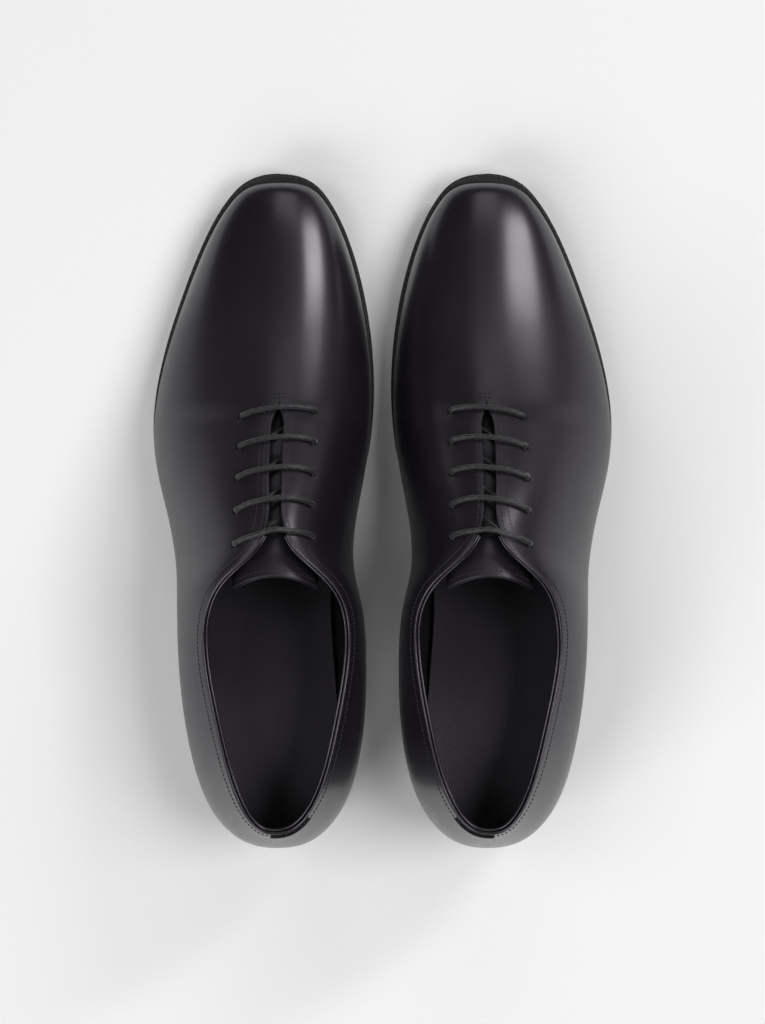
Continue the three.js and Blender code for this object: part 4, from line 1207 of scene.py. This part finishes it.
        marks = {"edge_mm": lambda a, b: np.full_like(a, 50), "shine": lambda a, b: np.full_like(a, 0.6)}
        stops = 1 - np.linspace(1, 0, 46) ** 1.6
        bm = mapped_grid(stops, np.linspace(0, 1, 20), surface, merge=0.02, marks=marks)
        piece = self.shoe.finish(bm, "heel_tab_leather", self.finishes.upper, "upper_calf", replaces=["heel_tab"])
        thicken(piece, 0.7, 0.2)
        # Painted shade: a thin dark tube along the tab's cut edge stands in for the shade line where the tab steps
        # down onto the upper.
        rim = np.linspace(0, 0.985, 70)
        seam_side = np.linspace(1.4, self.tab_depth, 14)[:-1]
        across = np.concatenate([np.full(len(seam_side), self.tab_lap), stand(rim)])
        tab_shade_path, _ = TopEdge.line(across, np.concatenate([seam_side, self.tab_reach(rim)]), 0.85)
        self.shoe.finish(tube(tab_shade_path, 0.3, 8), "heel_tab_edge", self.finishes.welt, "upper_calf")
        ends = np.linspace(0, 0.97, 60)
        points, normals = TopEdge.line(stand(ends), np.maximum(self.tab_reach(ends) - 1.3, 1.2), 0.8)
        self.shoe.finish(stitch_row(points, normals, 1.9, 0.66, 0.2), "heel_tab_thread",
                         self.finishes.thread, "upper_calf")

    def tab_reach(self, along: Array) -> Array:
        """How far below the top edge the tab reaches, from the seam (0) to its tip (1)."""
        return 1.0 + (self.tab_depth - 1.0) * (1 - 0.35 * along) * (1 - along ** 5) ** 0.5

    def build_stitching(self) -> None:
        """Rows along the topline and the facings, the bar across the throat, and the back seam."""
        rows = []
        loop = np.linspace(-LAST.throat + 0.004, LAST.throat - 0.004, 420)
        at_facing = smoothstep(np.abs(loop), LAST.facing_top - 0.02, LAST.facing_top + 0.02)
        rows.append(TopEdge.line(loop, self.topline_row + (self.facing_row - self.topline_row) * at_facing, 0.06))
        framing = np.linspace(LAST.throat - 0.004, LAST.facing_top + 0.01, 120)
        spread = 4.0 + 1.8 * np.linspace(0, 1, 120) ** 1.3
        rows.append(TopEdge.line(framing, spread, 0.06))
        meshes = [stitch_row(points, normals, 1.9, 0.72, self.thread_radius) for points, normals in rows]
        for s in (201.6, 203.4):
            w = LAST.along_top(s)
            sides = np.array([self.across_ridge(w, x) for x in np.linspace(-3.4, 3.0, 14)])
            meshes.append(stitch_row(sides[:, 0], sides[:, 1], 2.1, 0.9, 0.36))
        v = np.linspace(0.02, 0.8, 60)
        seam = LAST.point(np.zeros(60), v, 0.05)
        meshes.append(stitch_row(seam, LAST.normal(np.zeros(60), v), 1.9, 0.6, 0.16))
        self.shoe.finish(joined(meshes), "upper_stitching", self.finishes.thread, "upper_calf")

    @staticmethod
    def across_ridge(u: float, x: float) -> tuple[Array, Array]:
        """Point and normal just past the throat, at a width x from the ridge."""
        w = u if x >= 0 else -u
        v = TopEdge.v_at(w, abs(x))
        return LAST.point([w], [v], -0.12)[0], LAST.normal([w], [v])[0]


@dataclass
class SoleUnit:
    """Outsole, welt, heel rand, insole, sock lining, and the heel's lifts."""

    shoe: Shoe
    finishes: Finishes
    welt_pitch: float = 2.9
    welt_row: float = 1.05

    def slab(self, margin: Callable[[Array], Array], low: Callable[[Array], Array],
             high: Callable[[Array], Array], ends: tuple[float, float] = (0.0, 1.0), across: int = 22,
             along: int = 150, breast: float = 0.0) -> bmesh.types.BMesh:
        """A sole layer between two outlines.

        Args:
            margin: How far it stands out from the feather edge, at each w.
            low: Height of its lower face, at each s.
            high: Height of its upper face, at each s.
            ends: Its first and last u.
            across: Faces across.
            along: Faces along.
            breast: How far its front face is hollowed, if it has one.

        Returns:
            The closed mesh.
        """
        def plan(t: Array, u: Array) -> Array:
            """Points in plan between the two outlines."""
            left, right = LAST.edge(-u, margin(-u)), LAST.edge(u, margin(u))
            share = (t[:, None] + 1) / 2
            flat = left * (1 - share) + right * share
            if breast:
                front = smoothstep(u, ends[1] * 0.5, ends[1])
                flat[:, 1] += breast * front * (1 - t ** 2)
            return flat

        def upper_face(t: Array, u: Array) -> Array:
            """Points of the layer's upper face."""
            flat = plan(t, u)
            return np.column_stack([flat, high(HEEL_BACK_Y - flat[:, 1])])

        turn = np.linspace(0, np.pi if ends[1] >= 1 else np.pi / 2, along)
        if ends[0] > 0:
            turn = np.linspace(np.pi / 2, np.pi / 2 + 1, along)
        shares = (np.cos(turn[0]) - np.cos(turn)) / (np.cos(turn[0]) - np.cos(turn[-1]))
        us = ends[0] + (ends[1] - ends[0]) * shares
        bm = mapped_grid(np.sin(np.linspace(-np.pi / 2, np.pi / 2, across + 1)), us, upper_face, merge=0.01)
        lid = bmesh.ops.extrude_face_region(bm, geom=bm.faces[:])
        for vert in [item for item in lid["geom"] if isinstance(item, bmesh.types.BMVert)]:
            vert.co.z = float(low(HEEL_BACK_Y - vert.co.y))
        bmesh.ops.recalc_face_normals(bm, faces=bm.faces)
        return bm

    def strip(self, w: Array, inner: float, outer: Callable[[Array], Array], low: float,
              high: float) -> bmesh.types.BMesh:
        """A strip that follows the feather edge, of rectangular section."""
        def ring(corner: Array, at: Array) -> Array:
            """Corners of the strip's section."""
            k = np.rint(corner).astype(int) % 4
            margin = np.where((k == 0) | (k == 3), inner, outer(at))
            flat = LAST.edge(at, margin)
            z = sole_bottom(HEEL_BACK_Y - flat[:, 1]) + np.where(k < 2, low, high)
            return np.column_stack([flat, z])

        bm = mapped_grid(np.arange(5.0), w, ring, merge=0.01)
        close_holes(bm)
        return bm

    def build(self) -> None:
        """Makes the bottom's pieces from the floor up."""
        self.build_heel()
        self.build_outsole()
        self.build_welt()
        self.build_inside()

    def build_heel(self) -> None:
        """The rubber top piece, with its nails, and the stacked lifts."""
        def margin(w: Array) -> Array:
            """How far the heel stands out from the feather edge."""
            return LAST.sole_margin(w) - 0.4

        pitch = (float(sole_bottom(HEEL_BREAST)) - TOP_PIECE_THICKNESS) / LIFT_COUNT
        ends = (0.0, LAST.breast + 0.004)
        for i in range(-1, LIFT_COUNT):
            base = 0.0 if i < 0 else TOP_PIECE_THICKNESS + i * pitch
            top = (i + 1) * pitch + TOP_PIECE_THICKNESS
            flare = 0.12 * (LIFT_COUNT - 1 - i)

            def high(s: Array, i: int = i, top: float = top) -> Array:
                """Height of this layer's upper face."""
                return sole_bottom(s) - 0.1 if i == LIFT_COUNT - 1 else np.full_like(s, top - 0.12)

            bm = self.slab(lambda w, f=flare: margin(w) + f, lambda s, z=base: np.full_like(np.asarray(s), z), high,
                           ends, along=90, breast=2.4)
            name = "heel_top_piece" if i < 0 else f"heel_lift_{i + 1}"
            piece = self.shoe.finish(bm, f"{name}_edge", self.finishes.rubber if i < 0 else self.finishes.heel,
                                     "rubber" if i < 0 else "stacked_leather", replaces=[name], smooth=40)
            soften(piece, 0.35 if i < 0 else 0.22, 2)
        nails = bmesh.new()
        for angle in np.linspace(0.18, math.pi - 0.18, 9):
            at = Vector((23 * math.cos(angle), HEEL_BACK_Y - 33 + 21 * math.sin(angle), 0.05))
            bmesh.ops.create_cone(nails, cap_ends=True, segments=12, radius1=0.8, radius2=0.9, depth=0.3,
                                  matrix=Matrix.Translation(at))
        self.shoe.finish(nails, "heel_nails", self.finishes.steel, "shank_steel")

    def build_outsole(self) -> None:
        """The leather outsole."""
        bm = self.slab(LAST.sole_margin, sole_bottom, lambda s: sole_bottom(s) + OUTSOLE_THICKNESS,
                       across=26, along=220)
        piece = self.shoe.finish(bm, "outsole_leather", self.finishes.sole, "sole_leather",
                                 replaces=["outsole"], smooth=40)
        soften(piece, 0.8, 3)

    def build_welt(self) -> None:
        """The stitched welt round the forepart, and the rand round the heel."""
        b = LAST.breast
        w = np.concatenate([np.linspace(b, 1, 210), np.linspace(-1, -b, 210)[1:]])
        order = np.arange(len(w), dtype=float)
        across = {i: value for i, value in enumerate(w)}

        def outer(at: Array) -> Array:
            """The welt's outer margin."""
            return LAST.sole_margin(at) - 0.3

        def ring(corner: Array, at: Array) -> Array:
            """Corners of the welt's section, toe tip included."""
            k = np.rint(corner).astype(int) % 4
            here = np.array([across[int(round(x))] for x in at])
            margin = np.where((k == 0) | (k == 3), WELT_INNER_MARGIN, outer(here))
            flat = LAST.edge(here, margin)
            z = sole_bottom(HEEL_BACK_Y - flat[:, 1]) + np.where(k < 2, WELT_BASE, WELT_BASE + WELT_THICKNESS)
            return np.column_stack([flat, z])

        bm = mapped_grid(np.arange(5.0), order, ring, merge=0.01)
        close_holes(bm)
        piece = self.shoe.finish(bm, "welt_strip", self.finishes.welt, "welt_leather", replaces=["welt"], smooth=40)
        soften(piece, 0.45, 2)
        shown = w[(outer(w) > 1.2)]
        flat = LAST.edge(shown, outer(shown) - self.welt_row)
        z = sole_bottom(HEEL_BACK_Y - flat[:, 1]) + WELT_BASE + WELT_THICKNESS + 0.12
        points = np.column_stack([flat, z])
        up = np.tile([0.0, 0.0, 1.0], (len(points), 1))
        self.shoe.finish(stitch_row(points, up, self.welt_pitch, 0.76, 0.42), "welt_stitching",
                         self.finishes.welt_thread, "welt_leather")
        rand = self.strip(np.linspace(-b + 0.006, b - 0.006, 120), WELT_INNER_MARGIN,
                          lambda at: np.full_like(at, 0.6), WELT_BASE, WELT_BASE + WELT_THICKNESS)
        piece = self.shoe.finish(rand, "rand_strip", self.finishes.welt, "welt_leather", replaces=["heel_rand"],
                                 smooth=40)
        soften(piece, 0.3, 2)

    def build_inside(self) -> None:
        """The insole and the sock lining on it."""
        for name, clearance, base, depth, finish, slot in (
                ("insole", 1.3, FEATHER_RISE, INSOLE_THICKNESS, self.finishes.insole, "insole_leather"),
                ("sock_lining", 1.0, FLOOR_RISE - SOCK_THICKNESS, SOCK_THICKNESS, self.finishes.sock, "sock_leather")):
            bm = self.slab(lambda w, c=clearance: LAST.wall_margin(w, c), lambda s, z=base: sole_bottom(s) + z,
                           lambda s, z=base + depth: sole_bottom(s) + z, along=130)
            piece = self.shoe.finish(bm, f"{name}_sheet", finish, slot, replaces=[name], smooth=40)
            soften(piece, 0.35, 2)


@dataclass
class Tongue:
    """The tongue and its lining, arched under the facings and stitched at its free end."""

    shoe: Shoe
    finishes: Finishes
    end_bow: float = 2.4
    hem: float = 2.6

    def depth(self, t: Array) -> Array:
        """How deep under the instep line it lies, from its base (0) to its end (1)."""
        beneath = THIN_WALL + 2 * FIT
        clear = WALL + LACE_CLEARANCE + LACE_RADIUS + LACE_RADIUS + 3 * LACE_CLEARANCE
        return beneath + (clear - beneath) * np.minimum(t / 0.12, 1) + TONGUE_SAG * smoothstep(t, 0.12, 0.75)

    def surface(self, share: Array, t: Array, depth: float) -> Array:
        """Points of the tongue at a depth under its upper face."""
        base, end = TONGUE_HALF_WIDTH
        out = np.empty((len(t), 3))
        for k, (c, a) in enumerate(zip(share, t)):
            s = TONGUE_BASE + (TONGUE_END - TONGUE_BASE) * a - self.end_bow * c * c * a ** 4
            centre, _, normal = INSTEP.frame(s)
            x = c * (base + (end - base) * math.sin(math.pi / 2 * a))
            drop = TONGUE_ARCH - math.sqrt(TONGUE_ARCH ** 2 - x * x)
            out[k] = centre - normal * (float(self.depth(np.array(a))) + drop + depth)
            out[k, 0] = x * (1 - depth / TONGUE_ARCH)
        return out

    def build(self) -> None:
        """Makes both layers and the hem's stitches."""
        flap = f"{self.shoe.foot.prefix}_tongue_flap"
        across, up = np.linspace(-1, 1, 40), np.linspace(0, 1, 90)
        lower = TONGUE_THICKNESS + FIT
        for name, depth, thickness, finish, slot in (
                ("tongue", 0.0, TONGUE_THICKNESS, self.finishes.tongue, "tongue_calf"),
                ("tongue_lining", lower, TONGUE_LINING_THICKNESS, self.finishes.lining, "lining_leather")):
            bm = mapped_grid(across, up, lambda c, t, d=depth: self.surface(c, t, d))
            piece = self.shoe.finish(bm, f"{name}_leather", finish, slot, body=flap, replaces=[name])
            thicken(piece, thickness, 0.3)
        shares = np.linspace(-0.9, 0.9, 50)
        at = np.full(50, 1 - self.hem / (TONGUE_BASE - TONGUE_END))
        points = self.surface(shares, at, -0.06)
        step = self.surface(shares, at - 0.01, -0.06) - points
        side = np.gradient(points, axis=0)
        normals = np.cross(step, side)
        normals /= np.linalg.norm(normals, axis=1, keepdims=True)
        normals *= np.sign(normals[:, 2:3])
        self.shoe.finish(stitch_row(points, normals, 2.0, 0.7, 0.26), "tongue_hem_thread",
                         self.finishes.thread, "tongue_calf", body=flap)


@dataclass
class Lacing:
    """The held lace, its two free ends inside the shoe, and their tips."""

    shoe: Shoe
    finishes: Finishes
    bar_arch: float = 0.5
    turn: float = 1.5
    tip_length: float = 20.0
    tip_radius: float = 1.5
    over: float = field(init=False, default=LACE_RADIUS + LACE_CLEARANCE)
    under: float = field(init=False, default=-(WALL + LACE_CLEARANCE + LACE_RADIUS))

    def eyelet(self, row: int, side: Side) -> list[Array]:
        """Points through one eyelet, from inside the shoe to the start of its bar."""
        s, x = bar_place(row, side.value)
        w, v = INSTEP.locate(s, x)
        point, normal = LAST.raw([w], [v])[0], LAST.normal([w], [v])[0]
        inward = INSTEP.point(s, x - side.value * self.turn) - point
        inward /= np.linalg.norm(inward)
        return [point + normal * out + inward * across for out, across in (
            (self.under + 0.2, 0.0), (self.over - self.turn, 0.0),
            (self.over - 0.3 * self.turn, 0.3 * self.turn), (self.over, self.turn))]

    def held_route(self) -> list[Array]:
        """The lace's way through all the eyelets."""
        route: list[Array] = []
        for row in range(EYELET_ROWS):
            if row:
                start, end = np.array(bar_place(row - 1, -1)), np.array(bar_place(row, 1))
                route += [INSTEP.point(*(start + (end - start) * share), self.under - FIT)
                          for share in (0.125, 0.35, 0.65, 0.875)]
            bar = [INSTEP.point(*bar_place(row, share), self.over + self.bar_arch * (1 - share * share))
                   for share in (0.7, 0.38, 0, -0.38, -0.7)]
            route += [*self.eyelet(row, Side.OUTER), *bar, *self.eyelet(row, Side.INNER)[::-1]]
        return route

    def build(self) -> None:
        """Makes the held lace."""
        path = smooth_path(self.held_route(), 0.8)
        self.shoe.finish(tube(path, LACE_RADIUS, 14), "lace_held", self.finishes.lace, "waxed_cotton",
                         replaces=["lace"])

    def build_tails(self) -> None:
        """Makes the two free ends and their tips."""
        for name, route in (("front", TAIL_FRONT), ("rear", TAIL_REAR)):
            chosen = [np.array([x, HEEL_BACK_Y - s, z]) for x, s, z in route]
            path = smooth_path(chosen, 1.2)
            tail = self.shoe.finish(tube(path, LACE_RADIUS, 12, (1, 0, 0)), f"lace_end_{name}",
                                    self.finishes.lace, "waxed_cotton", replaces=[f"lace_tail_{name}"])
            along = (path[-1] - path[-2]) / np.linalg.norm(path[-1] - path[-2])
            reach = np.linspace(FIT, FIT + self.tip_length, 60)
            tip = self.shoe.finish(
                tube(path[-1] + along * reach[:, None], rounded_ends(60, self.tip_radius, self.tip_length / 59), 16),
                f"lace_tip_{name}", self.finishes.tip, "aglet_film", replaces=[f"aglet_{name}"])
            line = self.shoe.place(path)
            float(lengths_along(line)[-1])


# ---- The studio --------------------------------------------------------------------------------
@dataclass
class Softbox:
    """A rectangular light that faces a point on the floor."""

    name: str
    position: tuple[float, float, float]
    size: tuple[float, float]
    power: float
    aim: tuple[float, float, float] = (0.0, 0.0, 0.04)
    roll: float = 0.0

    def build(self) -> None:
        """Makes the light."""
        data = bpy.data.lights.new(self.name, "AREA")
        data.shape = "RECTANGLE"
        data.size, data.size_y = self.size
        data.energy = self.power
        lamp = bpy.data.objects.new(self.name, data)
        lamp.location = self.position
        facing = (Vector(self.aim) - Vector(self.position)).to_track_quat("-Z", "Y")
        lamp.rotation_euler = (facing @ Quaternion((0, 0, 1), math.radians(self.roll))).to_euler()
        bpy.context.scene.collection.objects.link(lamp)


@dataclass
class Studio:
    """A pale floor, soft lights, and the camera straight above the pair."""

    camera_height: float = 1.6
    camera_y: float = 0.0021
    lens: float = 122.55
    floor_tone: float = 0.92
    ambient: float = 0.02

    def build_camera(self) -> None:
        """Makes the camera, with the toes at the top of its view."""
        data = bpy.data.cameras.new("overhead")
        data.lens = self.lens
        data.sensor_width = 36
        data.clip_start, data.clip_end = 0.05, 20
        camera = bpy.data.objects.new("overhead", data)
        camera.location = (0, self.camera_y, self.camera_height)
        camera.rotation_euler = (0, 0, math.pi)
        bpy.context.scene.collection.objects.link(camera)
        bpy.context.scene.camera = camera

    def build(self) -> None:
        """Makes the floor, the ambient light and the softboxes, seen with plain contrast."""
        bpy.context.scene.view_settings.view_transform = "Standard"
        material, g, shader = new_material("studio_floor")
        position = g.add("ShaderNodeTexCoord").outputs["Object"]
        paper = g.noise(position, 400, 2)
        colour = g.mix(paper, (self.floor_tone - 0.01,) * 3 + (1,), (self.floor_tone + 0.01,) * 3 + (1,))
        finish_material(g, shader, colour, 0.9, g.math("MULTIPLY", paper, 0.02))
        bm = bmesh.new()
        bmesh.ops.create_grid(bm, x_segments=4, y_segments=4, size=6)
        mesh = bpy.data.meshes.new("studio_floor")
        bm.to_mesh(mesh)
        bm.free()
        floor = bpy.data.objects.new("studio_floor", mesh)
        mesh.materials.append(material)
        bpy.context.scene.collection.objects.link(floor)
        world = bpy.data.worlds.new("studio")
        world.use_nodes = True
        world.node_tree.nodes["Background"].inputs["Color"].default_value = (1, 1, 1, 1)
        world.node_tree.nodes["Background"].inputs["Strength"].default_value = self.ambient
        bpy.context.scene.world = world
        for box in (
                Softbox("toe_key", (-1.55, -1.45, 1.52), (0.34, 1.1), 16, roll=-33),
                Softbox("toe_fill", (-0.18, -2.1, 1.53), (1.2, 1.2), 5),
                Softbox("heel_key", (1.61, 1.35, 1.53), (1.2, 1.2), 22),
                Softbox("heel_fill", (0.18, 2.1, 1.53), (1.2, 1.2), 10),
                Softbox("high_left", (1.3, -0.11, 2.25), (1.2, 1.2), 13),
                Softbox("high_right", (-1.3, 0.11, 2.25), (1.2, 1.2), 30)):
            box.build()


def dress_hidden(finishes: Finishes) -> None:
    """Gives the frame's own hidden pieces their finishes."""
    looks = {"shank": finishes.steel, "cork_filler": finishes.cork}
    for foot in Foot:
        for name, material in looks.items():
            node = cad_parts[f"{foot.prefix}_{name}"]
            for slot in node.material_slots:
                slot.material = material
            log.info("%s_%s: finished as %s", foot.prefix, name, material.name)


def main() -> None:
    """Builds the studio and both shoes."""
    logging.basicConfig(level=logging.INFO, format="%(name)s %(message)s")
    studio = Studio()
    studio.build_camera()
    finishes = Finishes()
    shoes = [Shoe(foot) for foot in Foot]
    for shoe in shoes:
        Lacing(shoe, finishes).build_tails()
    for shoe in shoes:
        Lacing(shoe, finishes).build()
        Uppers(shoe, finishes).build()
        SoleUnit(shoe, finishes).build()
        Tongue(shoe, finishes).build()
    dress_hidden(finishes)
    studio.build()


if __name__ == "__main__":
    main()
